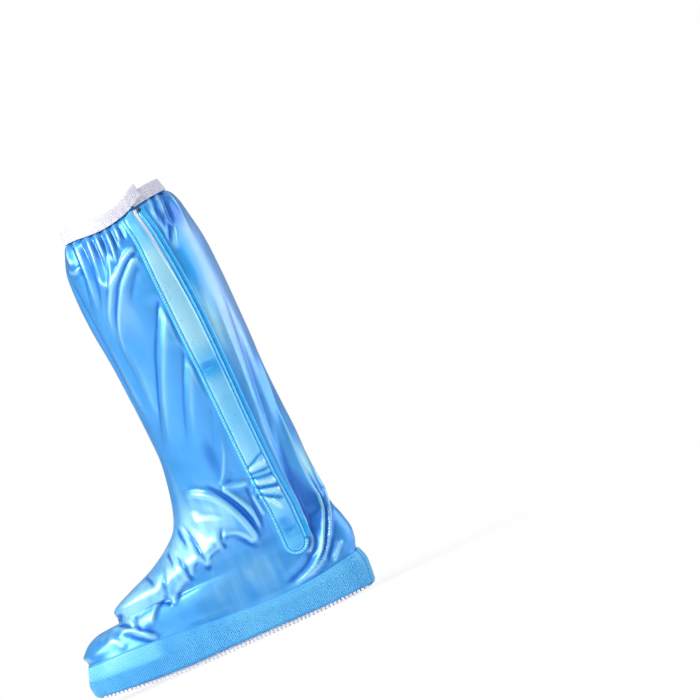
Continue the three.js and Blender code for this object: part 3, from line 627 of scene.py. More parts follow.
class FoldField:
    """How far a set of folds pushes the film out at any place."""

    STEPS = 8  # places between two points of a fold's path
    REACH = 3.2  # half widths beyond which a fold isn't felt

    def __init__(self, outer: Iterable[Fold], inner: Iterable[Fold] = ()) -> None:
        self.folds = [(fold, *self._line(fold, Side.OUTER)) for fold in outer]
        self.folds += [(fold, *self._line(fold, Side.INNER)) for fold in inner]

    def _line(self, fold: Fold, side: Side) -> tuple[Array, Array]:
        """Return the fold's line on the boot and the direction to its right, at close steps.

        Args:
            fold: The fold.
            side: The side that it lies on.

        Returns:
            Points, and vectors to the right of the way along them.
        """
        path = np.array(fold.path, float).reshape(-1, 2)
        padded = np.concatenate([2 * path[:1] - path[1:2], path, 2 * path[-1:] - path[-2:-1]])
        places = []
        for index in range(len(path) - 1):
            a, b, c, d = padded[index:index + 4]
            for t in np.arange(self.STEPS) / self.STEPS:
                places.append(0.5 * (2 * b + (c - a) * t + (2 * a - 5 * b + 4 * c - d) * t**2
                                     + (3 * b - a - 3 * c + d) * t**3))
        places = np.array([*places, path[-1]])
        station, angle = FORM.locate(places[:, 0], places[:, 1], side)
        line = FORM.points(station, angle)
        right = np.cross(unit(np.gradient(line, axis=0)), FORM.normals(station, angle))
        return line, unit(right)

    def rise(self, points: Array) -> Array:
        """Return the height of all the folds at points of the smooth boot.

        Args:
            points: Points of the smooth boot.

        Returns:
            Heights in millimetres, like points without their last axis.
        """
        shape = points.shape[:-1]
        flat = points.reshape(-1, 3)
        total = np.zeros(len(flat))
        for fold, line, right in self.folds:
            reach = self.REACH * max(fold.left, fold.right)
            inside = np.all((flat > line.min(0) - reach) & (flat < line.max(0) + reach), axis=1)
            near = np.nonzero(inside)[0]
            if len(near):
                total[near] += self._one(fold, line, right, flat[near])
        return total.reshape(shape)

    @staticmethod
    def _one(fold: Fold, line: Array, right: Array, points: Array) -> Array:
        """Return the height of one fold at points near it.

        Args:
            fold: The fold.
            line: Points along it.
            right: Directions to its right.
            points: Points near it.

        Returns:
            Heights in millimetres.
        """
        steps = np.diff(line, axis=0)
        square = np.maximum((steps**2).sum(1), 1e-9)
        gaps = points[:, None, :] - line[None, :-1, :]
        shares = np.clip((gaps * steps).sum(2) / square, 0, 1)
        gaps = gaps - shares[..., None] * steps
        distance = np.linalg.norm(gaps, axis=2)
        nearest = distance.argmin(1)
        row = np.arange(len(points))
        lateral = (gaps[row, nearest] * right[nearest]).sum(1)
        step = np.sqrt(square)
        length = running_length(step)
        along = (length[nearest] + shares[row, nearest] * step[nearest]) / length[-1]
        width = fold.left + (fold.right - fold.left) * ramp(lateral, -fold.crest, fold.crest)
        rounded = np.hypot(distance[row, nearest], fold.crest) - fold.crest
        window = np.clip(1 - (distance[row, nearest] / (FoldField.REACH * width)) ** 2, 0, 1) ** 2
        profile = np.exp(-rounded / width) * window
        grown = ramp(along, 0, fold.start) * (1 - ramp(along, 1 - fold.end, 1))
        return fold.rise * profile * grown


class Ripple:
    """Small uneven waves of the whole film, the same on every run."""

    WAVES = 26

    def __init__(self) -> None:
        random = np.random.default_rng(SEED)
        length = 34.0 + 70.0 * random.random(self.WAVES)
        way = unit(random.normal(size=(self.WAVES, 3)))
        self.vectors = way * (2 * np.pi / length)[:, None]
        self.phases = 2 * np.pi * random.random(self.WAVES)
        self.heights = 0.0026 * length

    def rise(self, points: Array) -> Array:
        """Return the height of the waves at points."""
        return (self.heights * np.sin(points @ self.vectors.T + self.phases)).sum(-1) / 2


class FilmSurface:
    """The folded film: the smooth boot with its folds, gathers and ripples."""

    CLOSURE_STILL = 0.2
    CLOSURE_FREE = 4.2
    BAND_STILL = 0.02
    BAND_FREE = 0.55
    ELASTIC_CALM = 0.45  # share of the folds' height left at the elastic
    ELASTIC_RUN = 12.0

    def __init__(self) -> None:
        self.free = FoldField(OUTER_FOLDS.values(), [*INNER_FOLDS.values(), *InnerGathers().folds()])
        self.crossing = FoldField(CROSSING_FOLDS.values())
        self.ripple = Ripple()

    def rise(self, station: Array, angle: Array) -> Array:
        """Return how far the film stands out from the smooth boot, in millimetres.

        Args:
            station: Ring numbers.
            angle: Angles round them.

        Returns:
            Heights, still at the closure, the elastic and the band.
        """
        points = FORM.points(station, angle)
        rise = self.free.rise(points) + self.ripple.rise(points)
        rise = rise * ramp(CLOSURE.beyond(points), self.CLOSURE_STILL, self.CLOSURE_FREE)
        depth = FORM.points(float(ELASTIC_FOOT), angle)[..., 2] - points[..., 2]
        rise = rise * (self.ELASTIC_CALM + (1 - self.ELASTIC_CALM) * ramp(depth, 0, self.ELASTIC_RUN))
        rise = rise * ramp(depth, -6, -2)
        rise = rise + self.crossing.rise(points)
        return rise * ramp(station, BAND_LINE + self.BAND_STILL, BAND_LINE + self.BAND_FREE)

    def crease_at(self, places: Array) -> Array:
        """Return how far the wrinkles across the closure stand out at x, z places."""
        station, angle = FORM.locate(places[..., 0], places[..., 1], Side.OUTER)
        return self.crossing.rise(FORM.points(station, angle))

    def on_side(self, places: Array, out: Array) -> tuple[Array, Array]:
        """Return points and normals over the closure's part of the film.

        Args:
            places: x, z places on the outer side.
            out: How far each stands off the film.
        """
        station, angle = FORM.locate(places[..., 0], places[..., 1], Side.OUTER)
        base = FORM.points(station, angle)
        normals = FORM.normals(station, angle)
        lift = (self.crossing.rise(base) + out)[..., None]
        return base + lift * normals, normals


# ------------------------ meshes


def mesh_piece(name: str, points: Array, faces: list, smooth: bool = True) -> Piece:
    """Make an object from points in millimetres and faces, with its place in its mesh.

    Args:
        name: Name of the piece.
        points: Its points, in any grid.
        faces: Corner numbers of each face.
        smooth: Whether it is shaded smooth.

    Returns:
        The new object.
    """
    mesh = bpy.data.meshes.new(name)
    mesh.from_pydata((np.asarray(points, float).reshape(-1, 3) * MM).tolist(), [], faces)
    mesh.validate()
    mesh.polygons.foreach_set("use_smooth", [smooth] * len(mesh.polygons))
    piece = bpy.data.objects.new(name, mesh)
    bpy.context.scene.collection.objects.link(piece)
    return piece


def grid_faces(rows: int, columns: int, wrapped: bool, start: int = 0, flip: bool = False) -> list:
    """Return the quads of a grid of points stored row by row.

    Args:
        rows: Rows of points.
        columns: Points in a row.
        wrapped: Whether rows close on themselves.
        start: Number of the first point.
        flip: Whether the faces are turned round.

    Returns:
        Four corner numbers for each face.
    """
    row = np.arange(rows - 1)[:, None]
    column = np.arange(columns if wrapped else columns - 1)[None, :]
    after = (column + 1) % columns
    a = start + row * columns + column
    b = start + (row + 1) * columns + column
    c = start + (row + 1) * columns + after
    d = start + row * columns + after
    order = (a, d, c, b) if flip else (a, b, c, d)
    return np.stack(order, -1).reshape(-1, 4).tolist()


def shell_faces(rows: int, columns: int, wrapped: bool) -> list:
    """Return the faces of a closed wall between an outer grid and an inner grid of the same size.

    Args:
        rows: Rows of each grid.
        columns: Points in a row.
        wrapped: Whether rows close on themselves.

    Returns:
        The corner numbers of each face.
    """
    inner = rows * columns
    faces = grid_faces(rows, columns, wrapped) + grid_faces(rows, columns, wrapped, inner, flip=True)
    for column in range(columns if wrapped else columns - 1):
        after = (column + 1) % columns
        top = (rows - 1) * columns
        faces.append((column, after, inner + after, inner + column))
        faces.append((top + column, inner + top + column, inner + top + after, top + after))
    if not wrapped:
        end = columns - 1
        for row in range(rows - 1):
            a, b = row * columns, (row + 1) * columns
            faces.append((a, inner + a, inner + b, b))
            faces.append((a + end, b + end, inner + b + end, inner + a + end))
    return faces


def shell_piece(name: str, outer: Array, inner: Array, wrapped: bool) -> Piece:
    """Make a closed wall from an outer and an inner grid of points.

    Args:
        name: Name of the piece.
        outer: Grid of its outer face.
        inner: Grid of its inner face.
        wrapped: Whether rows close on themselves.

    Returns:
        The new object.
    """
    rows, columns = outer.shape[:2]
    points = np.concatenate([outer.reshape(-1, 3), inner.reshape(-1, 3)])
    return mesh_piece(name, points, shell_faces(rows, columns, wrapped))


def swept_piece(name: str, points: Array) -> Piece:
    """Make a closed bar from sections of points, each a loop, with both ends capped.

    Args:
        name: Name of the piece.
        points: Sections, corners and places.

    Returns:
        The new object.
    """
    sections, corners = points.shape[:2]
    faces = grid_faces(sections, corners, True)
    faces.append(tuple(range(corners)))
    faces.append(tuple((sections - 1) * corners + corner for corner in reversed(range(corners))))
    piece = mesh_piece(name, points, faces)
    face_out(piece)
    return piece


def face_out(piece: Piece) -> None:
    """Turn a closed piece's faces outwards if they point in.

    Args:
        piece: A closed mesh.
    """
    mesh = piece.data
    mesh.calc_loop_triangles()
    corners = np.array([vertex.co for vertex in mesh.vertices])
    index = np.array([triangle.vertices for triangle in mesh.loop_triangles])
    a, b, c = corners[index[:, 0]], corners[index[:, 1]], corners[index[:, 2]]
    if (a * np.cross(b, c)).sum() < 0:
        mesh.flip_normals()


def dress_piece(piece: Piece, finish: Material, slot: str, *nodes: str) -> None:
    """Give a piece its material, attach it to its body and hide the CAD nodes that it replaces.

    Args:
        piece: The finished mesh.
        finish: Its material.
        slot: Not used.
        nodes: The CAD nodes that it replaces.
    """
    piece.data.materials.clear()
    piece.data.materials.append(finish)
    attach(piece, BODY)
    if nodes:
        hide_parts(*nodes)
    log.info("%s: %d faces", piece.name, len(piece.data.polygons))


# ------------------------ repeated details


class Detail(Enum):
    """The shape that a row tree sets at each of its places."""

    STUD = "stud"
    BEAD = "bead"
    BAR = "bar"


def setting_tree(detail: Detail) -> bpy.types.NodeTree:
    """Build the node tree that sets one small shape at each place, facing and heading as it says.

    Args:
        detail: The shape to set.

    Returns:
        The tree, with named inputs for its sizes.
    """
    tree = bpy.data.node_groups.new(f"set {detail.value}s", "GeometryNodeTree")
    for label, kind in (("Places", "Geometry"), ("Length", "Float"), ("Width", "Float"), ("Height", "Float"),
                        ("Unevenness", "Float"), ("Seed", "Int"), ("Finish", "Material")):
        tree.interface.new_socket(label, in_out="INPUT", socket_type=f"NodeSocket{kind}")
    tree.interface.new_socket("Details", in_out="OUTPUT", socket_type="NodeSocketGeometry")
    graph = Graph(tree)
    given = graph.node("NodeGroupInput")
    if detail is Detail.STUD:
        shape = graph.node("GeometryNodeMeshCone", {"fill_type": "NGON"}, Vertices=4,
                           **{"Radius Top": 0.56, "Radius Bottom": 1.0, "Depth": 1.0})
    elif detail is Detail.BEAD:
        shape = graph.node("GeometryNodeMeshUVSphere", Segments=8, Rings=6, Radius=1.0)
    else:
        shape = graph.node("GeometryNodeMeshCube", Size=(2.0, 2.0, 2.0))
    turned = graph.node("FunctionNodeAlignRotationToVector", {"axis": "Z"},
                        Vector=graph.named("facing", "FLOAT_VECTOR"))
    headed = graph.node("FunctionNodeAlignRotationToVector", {"axis": "X", "pivot_axis": "Z"},
                        Rotation=turned.outputs[0], Vector=graph.named("heading", "FLOAT_VECTOR"))
    size = graph.node("ShaderNodeCombineXYZ", X=given.outputs["Length"], Y=given.outputs["Width"],
                      Z=given.outputs["Height"])
    stretched = graph.node("ShaderNodeVectorMath", {"operation": "MULTIPLY"})
    graph.link(size.outputs[0], stretched.inputs[0])
    graph.link(graph.named("stretch", "FLOAT_VECTOR"), stretched.inputs[1])
    chance = graph.node("FunctionNodeRandomValue", {"data_type": "FLOAT"}, Seed=given.outputs["Seed"])
    graph.link(graph.math("SUBTRACT", 1.0, given.outputs["Unevenness"]), chance.inputs[2])
    chance.inputs[3].default_value = 1.0
    scaled = graph.node("ShaderNodeVectorMath", {"operation": "SCALE"})
    graph.link(stretched.outputs[0], scaled.inputs[0])
    graph.link(chance.outputs[1], scaled.inputs["Scale"])
    placed = graph.node("GeometryNodeInstanceOnPoints", Points=given.outputs["Places"],
                        Instance=shape.outputs["Mesh"], Rotation=headed.outputs[0], Scale=scaled.outputs[0])
    real = graph.node("GeometryNodeRealizeInstances", Geometry=placed.outputs[0])
    smooth = graph.node("GeometryNodeSetShadeSmooth", Geometry=real.outputs[0])
    smooth.inputs["Shade Smooth"].default_value = detail is Detail.BEAD
    dressed = graph.node("GeometryNodeSetMaterial", Geometry=smooth.outputs[0],
                         Material=given.outputs["Finish"])
    graph.node("NodeGroupOutput", Details=dressed.outputs[0])
    return tree


@dataclass
class DetailSetter:
    """Sets many small shapes of one kind and turns them into a plain mesh."""

    detail: Detail
    length: float
    width: float
    height: float
    unevenness: float = 0.0

    def build(self, name: str, points: Array, facing: Array, heading: Array,
              finish: Material, stretch: Array | None = None) -> Piece:
        """Make the details.

        Args:
            name: Name of the piece.
            points: Where they stand, in millimetres.
            facing: Direction each stands up in.
            heading: Direction each lies along.
            finish: Their material.
            stretch: Factors on each one's length, width and height.

        Returns:
            One object with all of them as plain faces.
        """
        piece = mesh_piece(name, points, [])
        plain = np.ones((len(piece.data.vertices), 3))
        given = {"facing": facing, "heading": heading, "stretch": plain if stretch is None else stretch}
        for key, values in given.items():
            attribute = piece.data.attributes.new(key, "FLOAT_VECTOR", "POINT")
            attribute.data.foreach_set("vector", np.asarray(values, np.float32).reshape(-1))
        tree = setting_tree(self.detail)
        modifier = piece.modifiers.new("set", "NODES")
        modifier.node_group = tree
        wanted = {"Length": self.length * MM, "Width": self.width * MM, "Height": self.height * MM,
                  "Unevenness": self.unevenness, "Seed": SEED, "Finish": finish}
        for item in tree.interface.items_tree:
            if item.name in wanted:
                modifier[item.identifier] = wanted[item.name]
        bpy.context.view_layer.update()
        made = bpy.data.meshes.new_from_object(piece.evaluated_get(bpy.context.evaluated_depsgraph_get()))
        piece.modifiers.clear()
        piece.data = made
        for key in given:
            found = made.attributes.get(key)
            if found:
                made.attributes.remove(found)
        return piece


# ------------------------ node graphs


class Graph:
    """Short ways to place and join nodes in one tree."""

    def __init__(self, tree: bpy.types.NodeTree) -> None:
        self.tree = tree

    def node(self, kind: str, settings: dict | None = None, **inputs) -> bpy.types.Node:
        """Place a node.

        Args:
            kind: Its type.
            settings: Its properties.
            inputs: Its inputs by name, each a value or another node's output.

        Returns:
            The new node.
        """
        node = self.tree.nodes.new(kind)
        for name, value in (settings or {}).items():
            setattr(node, name, value)
        for name, value in inputs.items():
            self.feed(node.inputs[name], value)
        return node

    def feed(self, socket: Socket, value) -> None:
        """Give a socket a value, or join it to another node's output."""
        if isinstance(value, Socket):
            self.tree.links.new(value, socket)
        else:
            socket.default_value = value

    def link(self, start: Socket, end: Socket) -> None:
        """Join an output to an input."""
        self.tree.links.new(start, end)

    def named(self, name: str, kind: str) -> Socket:
        """Return a named attribute of the mesh, in a geometry tree."""
        found = self.node("GeometryNodeInputNamedAttribute", {"data_type": kind}, Name=name)
        return found.outputs["Attribute"]

    def attribute(self, name: str) -> Socket:
        """Return one of the piece's own values, in a material."""
        return self.node("ShaderNodeAttribute", {"attribute_name": name}).outputs["Fac"]

    def place(self) -> Socket:
        """Return the place on the piece, in its own coordinates."""
        return self.node("ShaderNodeTexCoord").outputs["Object"]

    def bump(self, shader: bpy.types.Node, height: Socket, distance: float, strength: float) -> None:
        """Join a height to a shader's normal through a bump."""
        made = self.node("ShaderNodeBump", Strength=strength, Distance=distance, Height=height)
        self.link(made.outputs["Normal"], shader.inputs["Normal"])

    def noise(self, vector: Socket, scale: float, detail: float = 2.0) -> Socket:
        """Return a noise between about 0.3 and 0.7."""
        return self.node("ShaderNodeTexNoise", Vector=vector, Scale=scale, Detail=detail).outputs["Fac"]

    def span(self, value: Socket, low: float, high: float, to_low: float = 0.0,
             to_high: float = 1.0) -> Socket:
        """Return a value stretched from one span to another and kept inside it.

        Args:
            value: The value.
            low: Where the first span starts.
            high: Where it ends.
            to_low: Result at low.
            to_high: Result at high.

        Returns:
            The result.
        """
        made = self.node("ShaderNodeMapRange", {"interpolation_type": "SMOOTHSTEP"}, Value=value)
        for name, number in (("From Min", low), ("From Max", high), ("To Min", to_low), ("To Max", to_high)):
            made.inputs[name].default_value = number
        return made.outputs["Result"]

    def math(self, operation: str, *values) -> Socket:
        """Return the result of a sum on one to three values."""
        made = self.node("ShaderNodeMath", {"operation": operation})
        for socket, value in zip(made.inputs, values):
            self.feed(socket, value)
        return made.outputs[0]

    def blend(self, share, first, second) -> Socket:
        """Return a colour between two.

        Args:
            share: Share of the second.
            first: A colour.
            second: A colour.

        Returns:
            The blended colour.
        """
        made = self.node("ShaderNodeMix", {"data_type": "RGBA"})
        self.feed(made.inputs["Factor"], share)
        self.feed(made.inputs[6], first)
        self.feed(made.inputs[7], second)
        return made.outputs[2]


Colour = tuple[float, float, float, float]


def colour(red: float, green: float, blue: float) -> Colour:
    """Return a linear colour."""
    return (red, green, blue, 1.0)


def new_group(name: str, inputs: tuple,
              outputs: tuple) -> tuple[bpy.types.NodeTree, Graph, dict, bpy.types.Node]:
    """Start a shader node group.

    Args:
        name: Its name.
        inputs: Name, kind and value of each input.
        outputs: Name and kind of each output.

    Returns:
        The group, its graph, its inputs by name, and its output node.
    """
    tree = bpy.data.node_groups.new(name, "ShaderNodeTree")
    for label, kind, value in inputs:
        socket = tree.interface.new_socket(label, in_out="INPUT", socket_type=f"NodeSocket{kind}")
        if value is not None:
            socket.default_value = value
    for label, kind in outputs:
        tree.interface.new_socket(label, in_out="OUTPUT", socket_type=f"NodeSocket{kind}")
    graph = Graph(tree)
    given = graph.node("NodeGroupInput")
    return tree, graph, {label: given.outputs[label] for label, _, _ in inputs}, graph.node("NodeGroupOutput")


def pearl_group() -> bpy.types.NodeTree:
    """Build the cloudy colour, roughness and fine creasing of pearl film, with painted highlights and painted
    shade from its tone and fold inputs.
    """
    tree, graph, given, result = new_group(
        "pearl film",
        (("Place", "Vector", None), ("Deep", "Color", colour(0.01, 0.1, 0.6)),
         ("Body", "Color", colour(0.05, 0.3, 0.9)), ("Pale", "Color", colour(0.2, 0.6, 1.0)),
         ("Warm", "Color", colour(0.4, 0.5, 0.9)), ("Cool", "Color", colour(0.0, 0.4, 0.9)),
         ("Tone", "Float", 0.5), ("Fold", "Float", 0.5), ("Tint", "Float", 0.0), ("Streaks", "Float", 0.1),
         ("Gloss", "Float", 0.3)),
        (("Colour", "Color"), ("Roughness", "Float"), ("Height", "Float")),
    )
    clouds = graph.span(graph.noise(given["Place"], 14.0, 3.0), 0.35, 0.65, -0.05, 0.05)
    drawn = graph.node("ShaderNodeVectorMath", {"operation": "MULTIPLY"})
    graph.link(given["Place"], drawn.inputs[0])
    drawn.inputs[1].default_value = (60.0, 60.0, 7.0)
    streaks = graph.span(graph.noise(drawn.outputs[0], 1.0, 3.0), 0.32, 0.68, -1.0, 1.0)
    clouded = graph.math("ADD", given["Tone"], clouds)
    tone = graph.math("MULTIPLY_ADD", streaks, given["Streaks"], clouded)
    # Painted light: tone above 0.5 paints highlights towards Pale, and low tone paints shade towards Deep.
    body = graph.blend(graph.span(tone, 0.5, 1.0), given["Body"], given["Pale"])
    warmed = graph.blend(graph.span(given["Tint"], 0.0, -1.0, 0.0, 0.85), body, given["Warm"])
    cooled = graph.blend(graph.span(given["Tint"], 0.0, 1.0, 0.0, 0.9), warmed, given["Cool"])
    deepened = graph.blend(graph.span(tone, 0.45, -0.2), cooled, given["Deep"])
    # Painted shade in the folds' valleys towards Deep, and painted highlights on their ridges towards Pale.
    shaded = graph.blend(graph.span(given["Fold"], 0.5, 0.0), deepened, given["Deep"])
    lit = graph.blend(graph.span(given["Fold"], 0.5, 1.0, 0.0, 0.7), shaded, given["Pale"])
    graph.link(lit, result.inputs["Colour"])
    patches = graph.span(graph.noise(given["Place"], 60.0, 4.0), 0.3, 0.7, -0.05, 0.07)
    graph.link(graph.math("ADD", given["Gloss"], patches), result.inputs["Roughness"])
    creases = graph.math("MULTIPLY", graph.noise(given["Place"], 210.0, 4.0), 0.6)
    grain = graph.math("MULTIPLY", graph.noise(given["Place"], 1500.0, 2.0), 0.12)
    graph.link(graph.math("ADD", creases, grain), result.inputs["Height"])
    return tree


def weave_group() -> bpy.types.NodeTree:
    """Build crossed threads: a mask of their gaps, which the finishes paint as shade, their height and a soft
    soiling.
    """
    tree, graph, given, result = new_group(
        "woven threads",
        (("Along", "Float", 0.0), ("Across", "Float", 0.0), ("Place", "Vector", None),
         ("Pitch", "Float", 0.001), ("Slant", "Float", 0.0)),
        (("Gap", "Float"), ("Height", "Float"), ("Wear", "Float")),
    )
    slanted = graph.math("ADD", given["Along"], graph.math("MULTIPLY", given["Across"], given["Slant"]))
    first, second = (
        graph.math("SINE", graph.math("MULTIPLY", graph.math("DIVIDE", way, given["Pitch"]), 2 * math.pi))
        for way in (slanted, given["Across"])
    )
    height = graph.math("MULTIPLY_ADD", graph.math("MULTIPLY", first, second), 0.5, 0.5)
    graph.link(height, result.inputs["Height"])
    graph.link(graph.span(height, 0.35, 0.05), result.inputs["Gap"])
    graph.link(graph.span(graph.noise(given["Place"], 40.0, 4.0), 0.4, 0.75), result.inputs["Wear"])
    return tree


class Groups:
    """The shader groups, each built once."""

    def __init__(self) -> None:
        self.pearl = pearl_group()
        self.weave = weave_group()


# ------------------------ finishes


@dataclass(frozen=True)
class PearlFinish:
    """Pearl film: a cloudy colour under a clear gloss."""

    name: str
    deep: Colour
    body: Colour
    pale: Colour
    gloss: float = 0.3
    metallic: float = 0.45
    coat: float = 0.7
    coat_roughness: float = 0.1
    crease_height: float = 0.00012
    warm: Colour = (0.32, 0.53, 0.84, 1.0)
    cool: Colour = (0.0, 0.38, 0.9, 1.0)
    streaks: float = 0.03

    def make(self, groups: Groups) -> Material:
        """Build the material."""
        material, graph, shader = new_material(self.name)
        pearl = graph.node(
            "ShaderNodeGroup", {"node_tree": groups.pearl}, Place=graph.place(),
            Deep=self.deep, Body=self.body, Pale=self.pale, Warm=self.warm, Cool=self.cool,
            Tone=graph.attribute("tone"), Fold=graph.attribute("fold"), Tint=graph.attribute("tint"),
            Streaks=self.streaks, Gloss=self.gloss,
        )
        graph.link(pearl.outputs["Colour"], shader.inputs["Base Color"])
        graph.link(pearl.outputs["Roughness"], shader.inputs["Roughness"])
        graph.bump(shader, pearl.outputs["Height"], self.crease_height, 0.5)
        shader.inputs["Metallic"].default_value = self.metallic
        shader.inputs["Coat Weight"].default_value = self.coat
        shader.inputs["Coat Roughness"].default_value = self.coat_roughness
        return material


@dataclass(frozen=True)
class WovenFinish:
    """Woven or knitted white tape."""

    name: str
    thread: Colour
    # Colour of the painted shade in the gaps between threads, also used for the soiling.
    gap_shade_and_soil: Colour
    pitch: float
    slant: float = 0.0
    roughness: float = 0.85

    def make(self, groups: Groups) -> Material:
        """Build the material."""
        material, graph, shader = new_material(self.name)
        lay = graph.node("ShaderNodeUVMap", {"uv_map": "lay"}).outputs["UV"]
        parts = graph.node("ShaderNodeSeparateXYZ", Vector=lay)
        weave = graph.node("ShaderNodeGroup", {"node_tree": groups.weave}, Along=parts.outputs["X"],
                           Across=parts.outputs["Y"], Place=graph.place(), Pitch=self.pitch, Slant=self.slant)
        # Painted shade in the gaps between threads, then a soft soiling in the same darker colour.
        shaded = graph.blend(graph.math("MULTIPLY", weave.outputs["Gap"], 0.6), self.thread, self.gap_shade_and_soil)
        worn = graph.blend(graph.math("MULTIPLY", weave.outputs["Wear"], 0.35), shaded, self.gap_shade_and_soil)
        graph.link(worn, shader.inputs["Base Color"])
        graph.bump(shader, weave.outputs["Height"], 0.0002, 0.6)
        shader.inputs["Roughness"].default_value = self.roughness
        return material


@dataclass(frozen=True)
class MouldedFinish:
    """Plain moulded vinyl or painted metal with a fine grain."""

    name: str
    body: Colour
    shade: Colour
    roughness: float = 0.5
    metallic: float = 0.0
    grain: float = 900.0

    def make(self, groups: Groups) -> Material:
        """Build the material."""
        material, graph, shader = new_material(self.name)
        place = graph.place()
        clouds = graph.math("MULTIPLY", graph.span(graph.noise(place, 24.0, 4.0), 0.35, 0.7), 0.7)
        graph.link(graph.blend(clouds, self.body, self.shade), shader.inputs["Base Color"])
        smooth, rough = self.roughness - 0.06, self.roughness + 0.1
        patches = graph.span(graph.noise(place, 90.0, 3.0), 0.3, 0.7, smooth, rough)
        graph.link(patches, shader.inputs["Roughness"])
        graph.bump(shader, graph.noise(place, self.grain, 3.0), 0.0001, 0.4)
        shader.inputs["Metallic"].default_value = self.metallic
        return material


def new_material(name: str) -> tuple[Material, Graph, bpy.types.Node]:
    """Start a material; return it with its graph and its Principled shader.

    Args:
        name: Name of the finish.

    Returns:
        The material, its graph and its Principled shader.
    """
    material = bpy.data.materials.new(name)
    material.use_nodes = True
    return material, Graph(material.node_tree), material.node_tree.nodes["Principled BSDF"]


FILM = PearlFinish("pearl film", colour(0.006, 0.16, 0.6), colour(0.06, 0.36, 0.84), colour(0.38, 0.8, 0.96),
                   gloss=0.36, metallic=0.42, coat=0.42, coat_roughness=0.17, streaks=0.09)
TEXTURED_FILM = PearlFinish("textured film", colour(0.01, 0.25, 0.72), colour(0.1, 0.52, 0.89),
                            colour(0.33, 0.8, 0.93), gloss=0.42, metallic=0.1, coat=0.25, coat_roughness=0.3)
PANEL = PearlFinish("closure panel", colour(0.02, 0.32, 0.84), colour(0.14, 0.58, 0.97),
                    colour(0.46, 0.86, 1.0), gloss=0.3, metallic=0.3, coat=0.6, crease_height=0.00004)
RIDGE = PearlFinish("zip ridge film", colour(0.0, 0.2, 0.75), colour(0.01, 0.44, 0.94),
                    colour(0.12, 0.66, 1.0), gloss=0.3, metallic=0.2, coat=0.6, crease_height=0.00004)
STITCH = MouldedFinish("welded stitches", colour(0.55, 0.86, 0.97), colour(0.35, 0.75, 0.95), 0.4)
SOLE = MouldedFinish("sole vinyl", colour(0.88, 0.87, 0.9), colour(0.76, 0.74, 0.8), 0.45)
ELASTIC = WovenFinish("knitted elastic", colour(0.72, 0.715, 0.77), colour(0.44, 0.42, 0.53), 0.0011)
TAPE = WovenFinish("woven tape", colour(0.9, 0.92, 0.96), colour(0.6, 0.68, 0.82), 0.0008, 0.6)
STOP = MouldedFinish("stop metal", colour(0.16, 0.14, 0.16), colour(0.08, 0.07, 0.09), 0.35, 0.8)


@dataclass(frozen=True)
class ToneSpot:
    """A patch of the film's outer side: its tone paints it paler as a highlight or deeper as shade, its tint
    makes it cooler or warmer.
    """

    x: float
    z: float
    reach_x: float
    reach_z: float
    tone: float
    tint: float = 0.0


# Tone in the spots marked below paints highlights and shade; the first spots mostly tint the hue cooler or
# warmer.
LIGHT_AND_TINT_SPOTS = (
    ToneSpot(120, 305, 15, 75, 0.12, -0.85),
    ToneSpot(118, 385, 10, 26, -0.1, -0.5),
    ToneSpot(105, 350, 7, 40, -0.1, 0.95),
    ToneSpot(101, 305, 8, 40, 0.6, 0.4),
    ToneSpot(30, 335, 16, 36, 0.0, -0.4),
    ToneSpot(10, 290, 12, 80, 0.04),
    # Painted shade among the gathers under the elastic, at the front and at the back.
    ToneSpot(40, 396, 42, 14, -0.7),
    ToneSpot(107, 402, 11, 18, -0.6),
    # Painted shade above the ankle's pinch.
    ToneSpot(50, 174, 7, 22, -0.45),
    # Painted highlights over the instep and the toe.
    ToneSpot(20, 122, 34, 24, 0.4),
    ToneSpot(-12, 100, 24, 16, 0.3),
    ToneSpot(-50, 82, 36, 15, 0.3),
    ToneSpot(-112, 54, 22, 14, 0.05),
    ToneSpot(-84, 70, 14, 12, 0.25),
    # Painted shade in the deep zone at the front of the heel.
    ToneSpot(111, 98, 10, 44, -1.0),
    ToneSpot(124, 86, 7, 24, -0.8),
    ToneSpot(104, 58, 14, 9, -0.45),
    # Painted highlight at the back of the heel.
    ToneSpot(127, 130, 6, 26, 0.5),
    ToneSpot(24, 60, 60, 14, 0.14),
)


def add_look(piece: Piece, **looks) -> None:
    """Store a piece's tone with its painted highlights and shade, its fold value that paints shade in valleys
    and highlights on ridges, or its tint, for its material.

    Args:
        piece: The finished mesh.
        looks: Values named for the tone with painted light, for the fold with its painted shade and
            highlights, or for the tint: one for all its points, or one for each.
    """
    for name, values in looks.items():
        attribute = piece.data.attributes.new(name, "FLOAT", "POINT")
        every = np.broadcast_to(np.asarray(values, np.float32).reshape(-1), len(piece.data.vertices))
        attribute.data.foreach_set("value", np.ascontiguousarray(every))


def places_of(piece: Piece) -> Array:
    """Return the points of a piece, in millimetres."""
    places = np.empty(3 * len(piece.data.vertices), np.float32)
    piece.data.vertices.foreach_get("co", places)
    return places.reshape(-1, 3) / MM


def film_light_and_tint(points: Array) -> tuple[Array, Array]:
    """Return the film's tone, with its painted highlights and shade, and its tint at points of the boot; 0.5
    and 0 are its body colour.

    Args:
        points: Points of the smooth boot.

    Returns:
        Tone with painted highlights and shade, with 0.5 its body colour, and tint, with 0 none.
    """
    tone = np.full(points.shape[:-1], 0.5)
    tint = np.zeros(points.shape[:-1])
    for spot in LIGHT_AND_TINT_SPOTS:
        across = (points[..., 0] - spot.x) / spot.reach_x
        up = (points[..., 2] - spot.z) / spot.reach_z
        share = np.exp(-(across**2 + up**2))
        tone = tone + spot.tone * share
        tint = tint + spot.tint * share
    return tone, tint


def band_highlight(points: Array) -> Array:
    """Return the textured band's painted highlight: palest along its upper part at the toe."""
    height = points[..., 2] - sole_line(points[..., 0])
    return 0.5 * ramp(height, 14, 20) * ramp(-points[..., 0], 62, 80)


